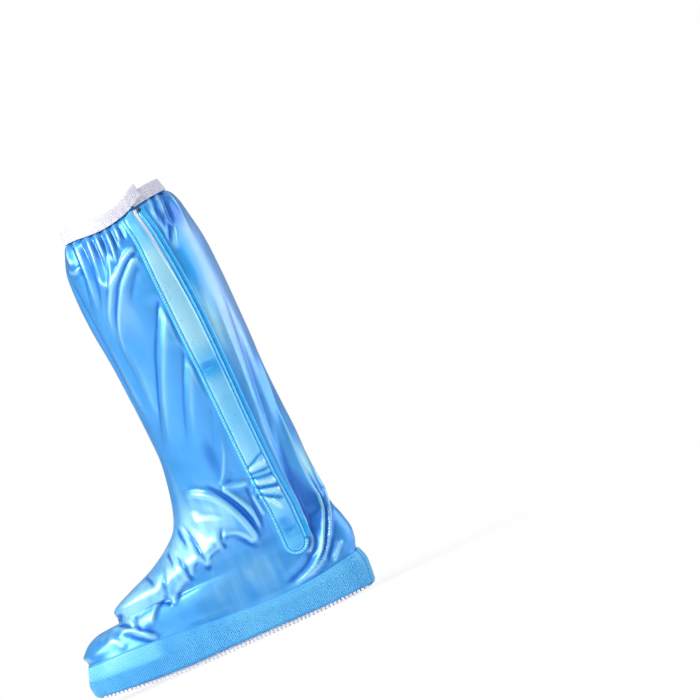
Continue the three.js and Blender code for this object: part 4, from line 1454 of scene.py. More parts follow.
def add_lay(piece: Piece, along: Array, across: Array) -> None:
    """Store how far along and across a strip each point lies, in metres, as a UV map.

    Args:
        piece: The finished mesh.
        along: Distance along the strip at each point.
        across: Distance across it.
    """
    layer = piece.data.uv_layers.new(name="lay")
    corner = np.empty(len(piece.data.loops), np.int32)
    piece.data.loops.foreach_get("vertex_index", corner)
    pairs = np.stack([along.reshape(-1)[corner], across.reshape(-1)[corner]], -1) * MM
    layer.data.foreach_set("uv", pairs.astype(np.float32).reshape(-1))


# ------------------------ pieces


@dataclass
class FilmBoot:
    """The film boot: one folded wall from the outsole up into the elastic."""

    wall: float = 0.9
    hidden_rows: int = 6
    hidden_end: float = 0.15  # stations below the band's line where the fine rows start
    rows: int = 246
    outer_columns: int = 198
    inner_columns: int = 105
    inner_step: int = 3  # the inside is this many times coarser
    look_reach: int = 3  # grid steps to the surroundings that a fold is compared with
    # Weights of the painted fold shading: shade in valleys and highlights on ridges, with raised film paler.
    fold_shade_weight: float = 0.4
    rise_shade_weight: float = 0.035

    def build(self, surface: FilmSurface) -> Piece:
        """Make the wall, fine outside and coarser inside.

        Args:
            surface: The folded film.

        Returns:
            The boot, with its looks stored.
        """
        start = BAND_LINE - self.hidden_end
        hidden = np.linspace(0, start, self.hidden_rows, endpoint=False)
        shown = FORM.even_stations(start, HEM, self.rows - self.hidden_rows + 1)
        stations = np.concatenate([hidden, shown])
        angles = FORM.even_angles(stations, self.outer_columns, self.inner_columns)
        grid = np.broadcast_to(stations[:, None], angles.shape)
        rise = surface.rise(grid, angles)
        base = FORM.points(grid, angles)
        normals = FORM.normals(grid, angles)
        outside = base + rise[..., None] * normals
        step = self.inner_step
        inside = (base + (self._lowest(rise) - self.wall)[..., None] * normals)[::step, ::step]
        piece = mesh_piece("film_boot_skin", np.concatenate([outside.reshape(-1, 3), inside.reshape(-1, 3)]),
                           self._faces(outside.shape, inside.shape))
        count = inside.shape[0] * inside.shape[1]
        # The spots' tone paints highlights and shade, and fold paints shade in valleys and highlights on
        # ridges.
        tone, tint = film_light_and_tint(base)
        looks = {"tone": (tone, 0.5), "fold": (self._fold_shading(rise), 0.5), "tint": (tint, 0.0)}
        add_look(piece, **{name: np.append(values, np.full(count, plain))
                           for name, (values, plain) in looks.items()})
        return piece

    def _lowest(self, rise: Array) -> Array:
        """Return the lowest rise round each point, so that the coarser inside stays inside.

        Args:
            rise: Height of the film at each grid point.

        Returns:
            The lowest height within reach of each.
        """
        reach = self.inner_step + 1
        lowest = rise
        for shift in range(-reach, reach + 1):
            lowest = np.minimum(lowest, np.roll(rise, shift, 1))
        across = lowest.copy()
        for shift in range(1, reach + 1):
            lowest[shift:] = np.minimum(lowest[shift:], across[:-shift])
            lowest[:-shift] = np.minimum(lowest[:-shift], across[shift:])
        return lowest

    def _faces(self, outside: tuple, inside: tuple) -> list:
        """Return the faces of both walls and of the rims that join them.

        Args:
            outside: Shape of the outer grid.
            inside: Shape of the inner grid.

        Returns:
            The corner numbers of each face.
        """
        rows, columns = outside[:2]
        inner_rows, inner_columns = inside[:2]
        start = rows * columns
        faces = grid_faces(rows, columns, True)
        faces += grid_faces(inner_rows, inner_columns, True, start, flip=True)
        step = self.inner_step
        for column in range(inner_columns):
            after = (column + 1) % inner_columns
            run = [(column * step + index) % columns for index in range(step + 1)]
            faces.append((*run, start + after, start + column))
            top = (rows - 1) * columns
            inner_top = start + (inner_rows - 1) * inner_columns
            faces.append((inner_top + column, inner_top + after, *(top + index for index in reversed(run))))
        return faces

    def _fold_shading(self, rise: Array) -> Array:
        """Return the painted fold shading: how far each point is folded out of its surroundings, 0.5 being
        flat, for the material to paint as shade in valleys and highlights on ridges.

        Args:
            rise: Height of the film at each grid point.

        Returns:
            Values from 0 for a valley to 1 for a ridge.
        """
        reach = self.look_reach
        around = (np.roll(rise, reach, 1) + np.roll(rise, -reach, 1)) / 2
        along = rise.copy()
        along[reach:-reach] = (rise[2 * reach:] + rise[:-2 * reach]) / 2
        folded = self.fold_shade_weight * (rise - (around + along) / 2) + self.rise_shade_weight * rise
        return np.clip(0.5 + folded, 0, 1)

    def dress(self, piece: Piece, film: Material) -> None:
        dress_piece(piece, film, "film", "film_boot")


@dataclass
class FoxingBand:
    """Textured band round the foot: a bellied wall, its welded edges, its studs and the lap at the heel."""

    clear: float = 0.35
    wall: float = 1.0
    rows: int = 26
    columns: int = 300
    edge_rise: float = 0.3
    edge_share: float = 0.05
    pitch: float = 2.26  # between studs along a row; rows are half of it apart
    stud_height: float = 0.5
    stud_half_length: float = 1.15
    stud_half_width: float = 0.62
    unevenness: float = 0.12
    stud_lean: float = 0.9  # how far each stud's length leans up from the band's
    # The studs are painted paler than the wall as a highlight on their raised tops.
    stud_highlight_tone: float = 0.66
    stud_climb: float = 34.0  # of the band's wall that the rows of studs are spaced over
    lap_angle: float = 0.17
    lap_rise: float = 0.9
    lap_gap: float = 0.1
    lap_edge: float = 0.35  # of the lap's rise left at its two ends
    lap_rows: int = 24
    lap_columns: int = 26
    # The wall between the studs is painted deeper as shade.
    wall_shade_tone: float = 0.12
    lap_tone: float = 0.3
    line_fold: float = 0.4  # how much deeper the welded line looks

    def _stations(self, count: int) -> Array:
        """Return evenly spaced stations up the band."""
        return FORM.even_stations(0, BAND_LINE, count)

    def _outer(self, stations: Array, angles: Array) -> Array:
        """Return points of the band's outer face, with raised edges at its top and bottom.

        Args:
            stations: Ring numbers.
            angles: Angles round them.

        Returns:
            Points in millimetres.
        """
        share = stations / BAND_LINE
        low_edge = self.edge_rise * (1 - ramp(share, self.edge_share * 0.6, self.edge_share * 1.6))
        thinned = self.wall * (0.3 + 0.7 * ramp(1 - share, 0, self.edge_share))
        out = self.clear + thinned + low_edge
        return FORM.points(stations, angles) + out[..., None] * FORM.normals(stations, angles)

    def build(self) -> Piece:
        """Make the band's wall."""
        stations = self._stations(self.rows)[:, None]
        angles = FORM.even_angles(stations[:, 0], self.columns // 2, self.columns // 2)
        grid = np.broadcast_to(stations, angles.shape)
        inner = FORM.points(grid, angles) + self.clear * FORM.normals(grid, angles)
        outer = self._outer(grid, angles)
        piece = shell_piece("foxing_band_wall", outer, inner, True)
        share = grid / BAND_LINE
        line = 1 - ramp(np.abs(share - (1 - self.edge_share)), 0, 0.03)
        fold = 0.5 - self.line_fold * line * ramp(-outer[..., 0], -20, 70)
        # Painted shade on the wall between the studs, with the band's painted highlight at the toe.
        tone = self.wall_shade_tone + band_highlight(outer)
        add_look(piece, tone=np.append(tone, tone), fold=np.append(fold, fold))
        return piece

    def stud_places(self) -> tuple[Array, Array, Array]:
        """Return the points, facings and headings of the studs, in staggered rows."""
        round_turn = np.linspace(0, 2 * np.pi, FINE_TURN)
        middle = FORM.points(np.full(FINE_TURN, 1.0), round_turn)
        length = running_length(np.linalg.norm(np.diff(middle, axis=0), axis=1))
        count = int(length[-1] / self.pitch)
        stations = self._stations(401)
        rows = np.linspace(0, 400, int(self.stud_climb / (self.pitch / 2))).round().astype(int)[2:-2]
        points, facings, headings = [], [], []
        for index, row in enumerate(rows):
            wanted = (np.arange(count) + 0.5 * (index % 2)) * length[-1] / count
            angle = np.interp(wanted, length, round_turn)
            station = np.full(count, stations[row])
            turn = np.where(angle > np.pi, angle - 2 * np.pi, angle)
            lapped = (np.abs(turn) < self.lap_angle)[:, None]
            normal = FORM.normals(station, angle)
            points.append(self._outer(station, angle) + lapped * (self.lap_gap + self.lap_rise) * normal)
            facings.append(normal)
            around = unit(FORM.points(station, angle + 0.01) - FORM.points(station, angle - 0.01))
            headings.append(unit(around + self.stud_lean * np.cross(normal, around)))
        return np.concatenate(points), np.concatenate(facings), np.concatenate(headings)

    def build_studs(self, finish: Material) -> Piece:
        """Make the embossed studs as one plain mesh.

        Args:
            finish: Their material.

        Returns:
            The studs as one object.
        """
        points, facings, headings = self.stud_places()
        setter = DetailSetter(Detail.STUD, self.stud_half_length, self.stud_half_width, self.stud_height,
                              self.unevenness)
        piece = setter.build("foxing_emboss", points, facings, headings, finish)
        # Painted highlight on the studs, palest at the toe.
        add_look(piece, tone=self.stud_highlight_tone + band_highlight(places_of(piece)), fold=0.5)
        return piece

    def build_lap(self) -> Piece:
        """Make the lap of the band over its own end at the heel."""
        stations = np.linspace(0.1, BAND_LINE + 0.1, self.lap_rows)[:, None]
        angles = np.linspace(-self.lap_angle, self.lap_angle, self.lap_columns)[None, :]
        grid, turn = np.broadcast_arrays(stations, angles)
        normals = FORM.normals(grid, turn)
        base = FORM.points(grid, turn)
        edge = ramp(self.lap_angle - np.abs(turn), 0, 0.03)
        low = self.clear + self.wall + self.lap_gap
        rise = self.lap_rise * (self.lap_edge + (1 - self.lap_edge) * edge)
        outer = base + (low + rise)[..., None] * normals
        piece = shell_piece("heel_lap_tab", outer, base + low * normals, False)
        add_look(piece, tone=self.lap_tone, fold=0.5)
        face_out(piece)
        return piece

    def dress(self, wall: Piece, studs: Piece, lap: Piece,
              textured: Material) -> None:
        """Args:
            wall: The band.
            studs: Its studs.
            lap: Its lap.
            textured: The textured film.
        """
        dress_piece(wall, textured, "textured_film", "foxing_band")
        dress_piece(studs, textured, "textured_film")
        dress_piece(lap, textured, "textured_film", "heel_lap")


@dataclass
class Outsole:
    """White outsole: a slab that follows the foot, and cross bars under it."""

    inset: float = 0.4
    gap: float = 0.2
    lift: float = 0.2  # of the slab's underside above the bars' feet
    pitch: float = 4.1
    bar: float = 1.35
    bar_out: float = 0.3
    bar_share: float = 0.78  # of the outsole's thickness
    columns: int = 260
    rings: int = 12
    middle_y: float = 2.0
    bar_run: tuple[float, float] = (-134.0, 135.0)  # along the foot, from the toe
    foot_shrink: float = 0.985  # of the outline where the slab's underside starts to round up
    edge_rings: tuple[tuple[float, float], ...] = ((0.998, 0.2), (1.0, 0.5), (0.998, 0.85), (0.99, 1.0))

    def _outline(self, out: float) -> Array:
        """Return the plan outline, moved out or in, as x, y places.

        Args:
            out: How far it is moved out.

        Returns:
            x, y places.
        """
        angles = FORM.even_angles(np.array([0.0]), self.columns // 2, self.columns // 2)[0]
        edge = FORM.points(np.zeros(self.columns), angles)
        normals = FORM.normals(np.zeros(self.columns), angles)
        normals[:, 2] = 0
        return (edge + (out - self.inset) * unit(normals))[:, :2]

    def _ring(self, shrink: float, share: float) -> Array:
        """Return one ring of the slab: a shrunken outline at a share of its thickness.

        Args:
            shrink: Size of the outline, 1 at the edge.
            share: Share of the thickness, 0 at the underside.

        Returns:
            Points in millimetres.
        """
        middle = np.array([0.0, self.middle_y])
        flat = middle + (self._outline(0) - middle) * shrink
        low = sole_bottom(flat[:, 0]) + self.lift
        high = sole_line(flat[:, 0]) - self.gap
        return np.column_stack([flat, low + (high - low) * share])

    def build_slab(self) -> Piece:
        """Make the slab: a closed form with rounded edges that follows the foot's curve."""
        shrinks = [self.foot_shrink * step / self.rings for step in range(1, self.rings)]
        rings = [self._ring(shrink, 0.0) for shrink in shrinks]
        rings += [self._ring(shrink, share) for shrink, share in ((self.foot_shrink, 0.0), *self.edge_rings)]
        rings += [self._ring(shrink, 1.0) for shrink in reversed(shrinks)]
        return swept_piece("outsole_slab", np.array(rings))

    def build_bars(self, finish: Material) -> Piece:
        """Make the tread bars as one plain mesh.

        Args:
            finish: Their material.

        Returns:
            The bars as one object.
        """
        edge = self._outline(self.bar_out)
        places, stretch = [], []
        for x in np.arange(*self.bar_run, self.pitch):
            near = edge[np.argsort(np.abs(edge[:, 0] - x))[:12]]
            low, high = near[:, 1].min(), near[:, 1].max()
            bottom = float(sole_bottom(np.array(x)))
            height = (float(sole_line(np.array(x))) - bottom) * self.bar_share
            places.append((x, (low + high) / 2, bottom + height / 2))
            stretch.append((1.0, (high - low) / 2, height / 2))
        count = len(places)
        setter = DetailSetter(Detail.BAR, self.bar, 1.0, 1.0)
        return setter.build("outsole_bars", np.array(places), np.tile([0, 0, 1.0], (count, 1)),
                            np.tile([1.0, 0, 0], (count, 1)), finish, np.array(stretch))

    def dress(self, slab: Piece, bars: Piece, vinyl: Material) -> None:
        dress_piece(slab, vinyl, "sole", "outsole")
        dress_piece(bars, vinyl, "sole")


@dataclass
class ElasticBand:
    """Ribbed elastic round the top, its free end lapped over the other and lifted."""

    wall: float = 1.3
    clear: float = 1.5
    rows: int = 33
    columns: int = 360
    ribs: int = 7
    rib_rise: float = 0.28
    lap_angle: float = 0.2
    lap_lift: float = 6.0
    lap_run: float = 0.36
    lap_gap: float = 0.35
    lap_step: float = 1.5  # that the lap climbs over the end under it
    rib_power: float = 0.7
    inner_rib: float = 0.4  # of the ribs' rise that shows inside
    edge_round: float = 0.3
    pucker: float = 0.35
    puckers: int = 46
    lay_radius: float = 48.0  # of the ring that the weave's length is measured on
    height: float = 14.5

    def build(self) -> Piece:
        """Make the strip with its ribs on both faces."""
        reach = CLOSURE_MIDDLES[-1] + CLOSURE_HALF_WIDTHS[0]
        start = float(FORM.angle_at(np.array(float(TOP_EDGE)), np.array(reach), Side.OUTER)) + self.lap_angle
        end = start - 2 * np.pi - self.lap_angle
        angles = np.linspace(end, start, self.columns)[None, :]
        stations = np.linspace(ELASTIC_FOOT, TOP_EDGE, self.rows)[:, None]
        grid, turn = np.broadcast_arrays(stations, angles)
        past = end + self.lap_angle - turn
        over = ramp(past, -self.lap_run, 0) * (self.lap_step + self.lap_gap)
        lift = self.lap_lift * ramp(past, -self.lap_run, self.lap_angle) ** 2
        outward = FORM.normals(np.full(turn.shape, (HEM + TOP_EDGE) / 2), turn)
        outward[..., 2] = 0
        outward = unit(outward)
        base = FORM.points(grid, turn) + np.stack([0 * lift, 0 * lift, lift], -1)
        share = (grid - ELASTIC_FOOT) / (TOP_EDGE - ELASTIC_FOOT)
        rib = np.abs(np.cos(np.pi * self.ribs * share)) ** self.rib_power * self.rib_rise
        round_edge = (ramp(np.minimum(share, 1 - share), -0.02, 0.05) - 1) * self.edge_round
        pucker = self.pucker * np.sin(self.puckers * turn) * (1 - share) ** 2
        outer = base + (self.clear + over + self.wall + rib + round_edge + pucker)[..., None] * outward
        inner = base + (self.clear + over - rib * self.inner_rib)[..., None] * outward
        piece = shell_piece("elastic_band_knit", outer, inner, False)
        add_lay(piece, np.tile(turn * self.lay_radius, (2, 1)), np.tile(share * self.height, (2, 1)))
        face_out(piece)
        return piece

    def dress(self, piece: Piece, knit: Material) -> None:
        dress_piece(piece, knit, "elastic", "elastic_band")


@dataclass
class Closure:
    """Closure on the outer side: flap, welded seam, zip tape, ridge, rear strip and stop."""

    seam_half: float = 1.75
    seam_height: float = 2.0
    seam_inset: float = 1.8
    clear: float = 0.12
    gap: float = 0.15
    line_steps: int = 420
    flap_stand: float = 1.1
    flap_wall: float = 1.0
    flap_rows: int = 400
    flap_columns: int = 30
    flap_foot: float = 0.5  # height of the flap's inner face at its edges
    flap_edge: float = 0.75  # height of its outer face there
    flap_crown: float = 0.25
    flap_tone: float = 0.66
    patch_height: float = 251.0
    patch_reach: float = 10.0
    tip_patch: float = 0.6
    patch_tone: float = 0.12
    patch_tint: float = 0.75
    # Painted highlight on the crests of the wrinkles across the flap, and painted shade and highlight along
    # them through fold.
    crest_highlight: float = 0.3
    crease_shade_and_highlight: float = 0.42
    tape_half: float = 3.6
    tape_top: float = 0.3
    tape_show: float = 3.8
    tape_share: float = 0.32
    strip_half: float = 1.9
    strip_top: float = 1.0
    corner: float = 0.15
    crown: float = 0.06
    tape_length: float = 340.0
    stitch_pitch: float = 2.8
    stitch_size: tuple[float, float, float] = (1.5, 0.42, 0.35)  # half length, width and height
    stitch_slant: float = 0.6
    hatch_pitch: float = 1.7
    hatch_size: tuple[float, float, float] = (1.2, 0.32, 0.3)
    hatch_slant: float = 1.0
    hatch_run: tuple[float, float] = (0.004, 0.98)
    ridge_run: tuple[float, float] = (0.0005, 0.985)
    tape_foot: float = 0.03
    seam_tone: float = 0.8
    ridge_tone: float = 0.55
    stop_half_length: float = 1.7
    stop_half_width: float = 1.5
    stop_half_height: float = 1.1
    stop_stand: float = 0.9
    stop_square: float = 0.35
    stop_rings: tuple[tuple[float, float], ...] = (
        (-1.7, 0.75), (-1.5, 1.0), (-0.5, 1.0), (0.0, 0.86), (0.5, 1.0), (1.5, 1.0), (1.7, 0.75),
    )

    def build_flap(self, surface: FilmSurface) -> Piece:
        """Make the flap, crowned between its edges.

        Args:
            surface: The folded film.

        Returns:
            The flap, with its looks stored.
        """
        inset = self.seam_inset + self.seam_half + self.gap
        radius = CLOSURE.radius - inset
        middle, _ = CLOSURE.at(np.array(CLOSURE.turn_height))
        turns = np.linspace(0.12, np.pi / 2, 22)[:-1]
        share = np.linspace(0, 1, self.flap_rows)
        drawn = self.tape_show * ramp(share, 1 - self.tape_share, 1)
        low_z = CLOSURE.turn_height - radius * np.cos(turns)
        front = np.concatenate([np.stack([middle - radius * np.sin(turns), low_z], -1),
                                CLOSURE.side(share, inset, -1)])
        rear = np.concatenate([np.stack([middle + radius * np.sin(turns), low_z], -1),
                               CLOSURE.side(share, inset + drawn, 1)])
        across = (1 - np.cos(np.linspace(0, np.pi, self.flap_columns))) / 2
        places = rear[:, None] + (front - rear)[:, None] * across[None, :, None]
        edge = ramp(np.minimum(across, 1 - across), 0, 0.12)[None, :]
        bottom = np.concatenate([ramp(turns, 0, 0.9), np.ones(len(share))])[:, None]
        crown = 0.35 + 0.65 * edge * bottom + self.flap_crown * np.sin(np.pi * across)[None, :] * bottom
        top = self.flap_stand + self.flap_wall
        outer, _ = surface.on_side(places, self.flap_edge + (top - self.flap_edge) * crown)
        low = self.flap_foot
        inner, _ = surface.on_side(places, low + (self.flap_stand - low) * edge * bottom)
        piece = shell_piece("closure_flap_panel", outer, inner, False)
        looks = self._flap_looks(outer[..., 2], surface.crease_at(places))
        add_look(piece, **{name: np.append(values, values) for name, values in looks.items()})
        face_out(piece)
        return piece

    def _flap_looks(self, height: Array, crease: Array) -> dict[str, Array]:
        """Return the flap's tone, fold and tint: paler high up, with a cooler patch and tip, a painted
        highlight on the wrinkles' crests and painted shade in their creases.

        Args:
            height: Heights of its points.
            crease: How far wrinkles stand out there.

        Returns:
            The looks by name.
        """
        patch = np.exp(-(((height - self.patch_height) / self.patch_reach) ** 2))
        patch = patch + self.tip_patch * ramp(-height, -112, -84)
        tone = self.flap_tone + 0.2 * ramp(height, 262, 285) - 0.4 * ramp(height, 365, 405)
        # Painted highlight on the wrinkles' crests; fold paints shade in their creases and highlights on
        # their crests.
        tone = tone - self.patch_tone * patch + self.crest_highlight * np.maximum(crease, 0)
        fold = np.clip(0.5 + self.crease_shade_and_highlight * crease, 0, 1)
        return {"tone": tone, "fold": fold, "tint": self.patch_tint * patch}

    def _strip(self, name: str, surface: FilmSurface, line: Array, section: list) -> Piece:
        """Sweep a section of across, up places along a line of x, z places on the film.

        Args:
            name: Name of the piece.
            surface: The film.
            line: x, z places along it.
            section: Across and up places round it.

        Returns:
            The new object.
        """
        middle, normals = surface.on_side(line, np.zeros(len(line)))
        along = unit(np.gradient(middle, axis=0))
        across = unit(np.cross(along, normals))
        places = np.array([
            [point + side * way + up * normal for side, up in section]
            for point, way, normal in zip(middle, across, normals)
        ])
        return swept_piece(name, places)

    def _bead_section(self, half: float, height: float) -> list:
        """Return a half-round section with a slightly flat foot."""
        turns = np.linspace(0, np.pi, 13)
        return [(half * math.cos(turn), self.clear + height * math.sin(turn) ** 0.8) for turn in turns]

    def _flat_section(self, half: float, top: float) -> list:
        """Return a flat section with rounded upper corners."""
        low, high, corner = self.clear, self.clear + top, self.corner
        return [(half, low), (half, high - corner), (half - corner, high), (0.0, high + self.crown),
                (corner - half, high), (-half, high - corner), (-half, low)]

    def seam_line(self, inset: float) -> Array:
        """Return the x, z line down the front edge and round the lower end."""
        front = CLOSURE.side(np.linspace(1, 0, self.line_steps), inset, -1)
        return np.concatenate([front, CLOSURE.arc(inset, np.linspace(np.pi, 2 * np.pi, 46)[1:-1])])

    def rear_line(self, inset: float, low: float = 0.0, high: float = 1.0) -> Array:
        """Return the x, z line up the rear edge."""
        return CLOSURE.side(np.linspace(low, high, self.line_steps), inset, 1)

    def build_strips(self, surface: FilmSurface) -> dict[str, Piece]:
        """Make the seam, the ridge, the tape and the rear strip, by their nodes' names.

        Args:
            surface: The folded film.

        Returns:
            The strips by name.
        """
        tape_inset = self.seam_inset + self.seam_half + self.gap + self.tape_half
        strip_inset = self.seam_inset - self.seam_half - self.gap - self.strip_half
        bead = self._bead_section(self.seam_half, self.seam_height)
        flat = self._flat_section(self.tape_half, self.tape_top)
        ridge_line = self.rear_line(self.seam_inset, *self.ridge_run)
        tape_line = self.rear_line(tape_inset, self.tape_foot)
        made = {
            "flap_seam": self._strip("flap_seam_bead", surface, self.seam_line(self.seam_inset), bead),
            "zip_ridge": self._strip("zip_ridge_bead", surface, ridge_line, bead),
            "zip_tape": self._strip("zip_tape_weave", surface, tape_line, flat),
            "rear_strip": self._strip("rear_strip_film", surface, self.rear_line(strip_inset),
                                      self._flat_section(self.strip_half, self.strip_top)),
        }
        tones = {"flap_seam": self.seam_tone, "zip_ridge": self.ridge_tone, "rear_strip": self.ridge_tone}
        for name, tone in tones.items():
            add_look(made[name], tone=tone, fold=0.5)
        along = np.repeat(np.linspace(0, self.tape_length, self.line_steps), len(flat))
        add_lay(made["zip_tape"], along, np.tile([side for side, _ in flat], self.line_steps))
        return made

    def _spaced(self, line: Array, pitch: float) -> Array:
        """Return places at even distances along a line."""
        length = running_length(np.linalg.norm(np.diff(line, axis=0), axis=1))
        wanted = np.arange(pitch / 2, length[-1], pitch)
        return np.stack([np.interp(wanted, length, line[:, 0]), np.interp(wanted, length, line[:, 1])], -1)

    def _stitches(self, name: str, surface: FilmSurface, places: Array, size: tuple, slant: float,
                  up: float, finish: Material) -> Piece:
        """Set slanted stitches on a bead.

        Args:
            name: Name of the piece.
            surface: The film.
            places: x, z places of the stitches along the bead.
            size: Half length, half width and half height of one.
            slant: How far each leans along the bead, from 0 across it to 1 at 45 degrees.
            up: How far their middles stand off the film.
            finish: Their material.

        Returns:
            The stitches as one object.
        """
        points, normals = surface.on_side(places, np.full(len(places), up))
        along = unit(np.gradient(points, axis=0))
        heading = unit(np.cross(along, normals) + slant * along)
        return DetailSetter(Detail.BEAD, *size, unevenness=0.12).build(name, points, normals, heading, finish)

    def build_stitches(self, surface: FilmSurface, finish: Material) -> dict[str, Piece]:
        """Make the stitches of the seam and the hatching of the ridge.

        Args:
            surface: The folded film.
            finish: Their material.

        Returns:
            The stitches and the hatching by name.
        """
        top = self.clear + self.seam_height - 0.1
        seam = self._spaced(self.seam_line(self.seam_inset), self.stitch_pitch)
        ridge = self._spaced(self.rear_line(self.seam_inset, *self.hatch_run), self.hatch_pitch)
        return {
            "stitches": self._stitches("flap_seam_stitches", surface, seam, self.stitch_size,
                                       self.stitch_slant, top - 0.15, finish),
            "hatch": self._stitches("zip_ridge_hatch", surface, ridge, self.hatch_size,
                                    self.hatch_slant, top, finish),
        }

    def build_stop(self, surface: FilmSurface) -> Piece:
        """Make the small stop: a bevelled block with a waist.

        Args:
            surface: The folded film.

        Returns:
            The stop.
        """
        end = CLOSURE.side(np.array([1.0]), self.seam_inset, 1)
        end[:, 1] -= self.stop_half_length
        points, normals = surface.on_side(end, np.array([self.stop_stand + self.stop_half_height]))
        normal = normals[0]
        up = unit(np.array([0, 0, 1.0]) - normal[2] * normal)
        side = np.cross(up, normal)
        turns = np.linspace(0, 2 * np.pi, 16, endpoint=False)
        across, out = (np.sign(wave) * np.abs(wave) ** self.stop_square * half for wave, half in
                       ((np.cos(turns), self.stop_half_width), (np.sin(turns), self.stop_half_height)))
        loop = across[:, None] * side + out[:, None] * normal
        rings = [points[0] + level * up + wide * loop for level, wide in self.stop_rings]
        return swept_piece("zip_stop_block", np.array(rings))

    def dress(self, made: dict[str, Piece], films: dict[str, Material],
              tape: Material, stop: Material) -> None:
        """Args:
            made: The pieces by name.
            films: The flap's film, the ridge's film and the stitches' film by name.
            tape: The zip tape's weave.
            stop: The stop's metal.
        """
        dress_piece(made["flap"], films["panel"], "film", "closure_flap")
        dress_piece(made["flap_seam"], films["ridge"], "film", "flap_seam")
        dress_piece(made["zip_ridge"], films["ridge"], "film", "zip_ridge")
        dress_piece(made["zip_tape"], tape, "zip_tape", "zip_tape")
        dress_piece(made["rear_strip"], films["ridge"], "film", "rear_strip")
        dress_piece(made["stitches"], films["stitch"], "film")
        dress_piece(made["hatch"], films["stitch"], "film")
        dress_piece(made["stop"], stop, "zip_stop", "zip_stop")


# ------------------------ studio


@dataclass(frozen=True)
class Panel:
    """A soft light panel."""

    name: str
    place: tuple[float, float, float]
    aim: tuple[float, float, float]
    width: float
    height: float
    power: float
    tint: tuple[float, float, float] = (1.0, 1.0, 1.0)


PANELS = (
    Panel("key", (-0.85, -1.05, 1.5), (0.0, 0.0, 0.12), 0.8, 0.6, 24.0),
    Panel("left key", (-1.3, -0.75, 1.15), (-0.02, 0.0, 0.12), 0.7, 0.6, 13.0),
    Panel("front fill", (0.7, -3.0, 1.9), (0.05, 0.0, 0.2), 1.8, 1.2, 8.0),
    Panel("right panel", (1.55, 0.15, 0.6), (0.08, 0.0, 0.22), 1.0, 1.4, 12.0, (0.9, 0.88, 1.0)),
    Panel("top", (0.1, 0.5, 2.2), (0.05, 0.0, 0.2), 1.2, 1.2, 5.0),
)


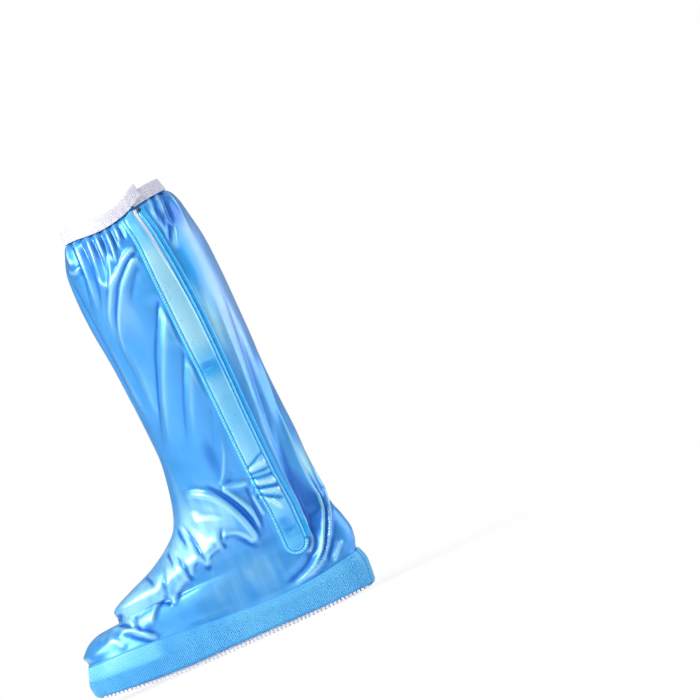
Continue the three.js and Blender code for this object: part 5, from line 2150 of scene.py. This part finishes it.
@dataclass
class Studio:
    """Pale bowl of a floor, soft panels and the camera."""

    lens: float = 360.0
    sensor: float = 36.0
    field: float = 0.6615
    aim: tuple[float, float] = (0.2099, 0.2135)
    roll: float = math.radians(24.2)
    flat_radius: float = 7.6
    bend_radius: float = 1.4
    wall_height: float = 2.6

    def build(self) -> None:
        """Make the floor, the lights, the sky and the camera."""
        self._bowl()
        for panel in PANELS:
            self._light(panel)
        self._sky()
        self._camera()
        bpy.context.scene.view_settings.view_transform = "Standard"

    def _bowl(self) -> None:
        """Make the floor that turns up into a wall all round."""
        radii = list(np.linspace(0, self.flat_radius, 8)[1:])
        profile = [(radius, 0.0) for radius in radii]
        for turn in np.linspace(0, np.pi / 2, 14)[1:]:
            profile.append((self.flat_radius + self.bend_radius * math.sin(turn),
                            self.bend_radius * (1 - math.cos(turn))))
        profile.append((self.flat_radius + self.bend_radius, self.bend_radius + self.wall_height))
        columns = 96
        turns = np.linspace(0, 2 * np.pi, columns, endpoint=False)
        circle = np.stack([np.cos(turns), np.sin(turns), np.zeros(columns)], -1)
        rings = np.array([radius * circle + (0, 0, height) for radius, height in profile]) / MM
        points = np.concatenate([[[0, 0, 0]], rings.reshape(-1, 3)])
        faces = [(0, 1 + column, 1 + (column + 1) % columns) for column in range(columns)]
        faces += grid_faces(len(profile), columns, True, 1)
        floor = mesh_piece("floor", points, faces)
        material, graph, shader = new_material("pale floor")
        shader.inputs["Base Color"].default_value = colour(0.86, 0.87, 0.88)
        shader.inputs["Roughness"].default_value = 0.9
        shader.inputs["Specular IOR Level"].default_value = 0.1
        away = graph.node("ShaderNodeVectorMath", {"operation": "LENGTH"}, Vector=graph.place())
        seen = graph.node("ShaderNodeLightPath").outputs["Is Camera Ray"]
        share = graph.math("MULTIPLY", graph.span(away.outputs["Value"], 0.1, 0.5, 0.88, 1.0), seen)
        glow = graph.node("ShaderNodeEmission", Color=colour(1.0, 1.0, 1.0), Strength=1.0)
        mixed = graph.node("ShaderNodeMixShader")
        graph.link(share, mixed.inputs[0])
        graph.link(shader.outputs[0], mixed.inputs[1])
        graph.link(glow.outputs[0], mixed.inputs[2])
        output = material.node_tree.nodes["Material Output"]
        graph.link(mixed.outputs[0], output.inputs["Surface"])
        floor.data.materials.append(material)

    @staticmethod
    def _light(panel: Panel) -> None:
        """Make one soft panel."""
        data = bpy.data.lights.new(panel.name, "AREA")
        data.shape = "RECTANGLE"
        data.size = panel.width
        data.size_y = panel.height
        data.energy = panel.power
        data.color = panel.tint
        light = bpy.data.objects.new(panel.name, data)
        light.location = panel.place
        light.rotation_euler = (Vector(panel.aim) - Vector(panel.place)).to_track_quat("-Z", "Y").to_euler()
        bpy.context.scene.collection.objects.link(light)

    @staticmethod
    def _sky() -> None:
        """Set the soft light from all round."""
        world = bpy.data.worlds.new("studio")
        world.use_nodes = True
        background = world.node_tree.nodes["Background"]
        background.inputs["Color"].default_value = colour(0.9, 0.95, 1.0)
        background.inputs["Strength"].default_value = 0.33
        bpy.context.scene.world = world

    def _camera(self) -> None:
        """Set the camera level with the cover, square to its outer side and rolled."""
        data = bpy.data.cameras.new("camera")
        data.lens = self.lens
        data.sensor_width = self.sensor
        data.clip_end = 50.0
        camera = bpy.data.objects.new("camera", data)
        right = Vector((math.cos(self.roll), 0, -math.sin(self.roll)))
        up = Vector((math.sin(self.roll), 0, math.cos(self.roll)))
        back = right.cross(up)
        turn = Matrix((right, up, back)).transposed()
        distance = self.field * self.lens / self.sensor
        place = Vector((self.aim[0], -distance, self.aim[1]))
        camera.matrix_world = Matrix.Translation(place) @ turn.to_4x4()
        bpy.context.scene.collection.objects.link(camera)
        bpy.context.scene.camera = camera


# ------------------------ assembly


def main() -> None:
    """Build the studio, then every piece in order."""
    logging.basicConfig(level=logging.INFO, format="%(name)s %(message)s")
    Studio().build()
    groups = Groups()
    film, textured, panel, ridge = (finish.make(groups) for finish in (FILM, TEXTURED_FILM, PANEL, RIDGE))
    vinyl, knit, tape, metal, stitch = (finish.make(groups) for finish in (SOLE, ELASTIC, TAPE, STOP, STITCH))
    surface = FilmSurface()

    boot = FilmBoot()
    boot.dress(boot.build(surface), film)

    band = FoxingBand()
    band.dress(band.build(), band.build_studs(textured), band.build_lap(), textured)

    outsole = Outsole()
    outsole.dress(outsole.build_slab(), outsole.build_bars(vinyl), vinyl)

    elastic = ElasticBand()
    elastic.dress(elastic.build(), knit)

    closure = Closure()
    pieces = {"flap": closure.build_flap(surface), **closure.build_strips(surface),
              **closure.build_stitches(surface, stitch), "stop": closure.build_stop(surface)}
    closure.dress(pieces, {"panel": panel, "ridge": ridge, "stitch": stitch}, tape, metal)


if __name__ == "__main__":
    main()
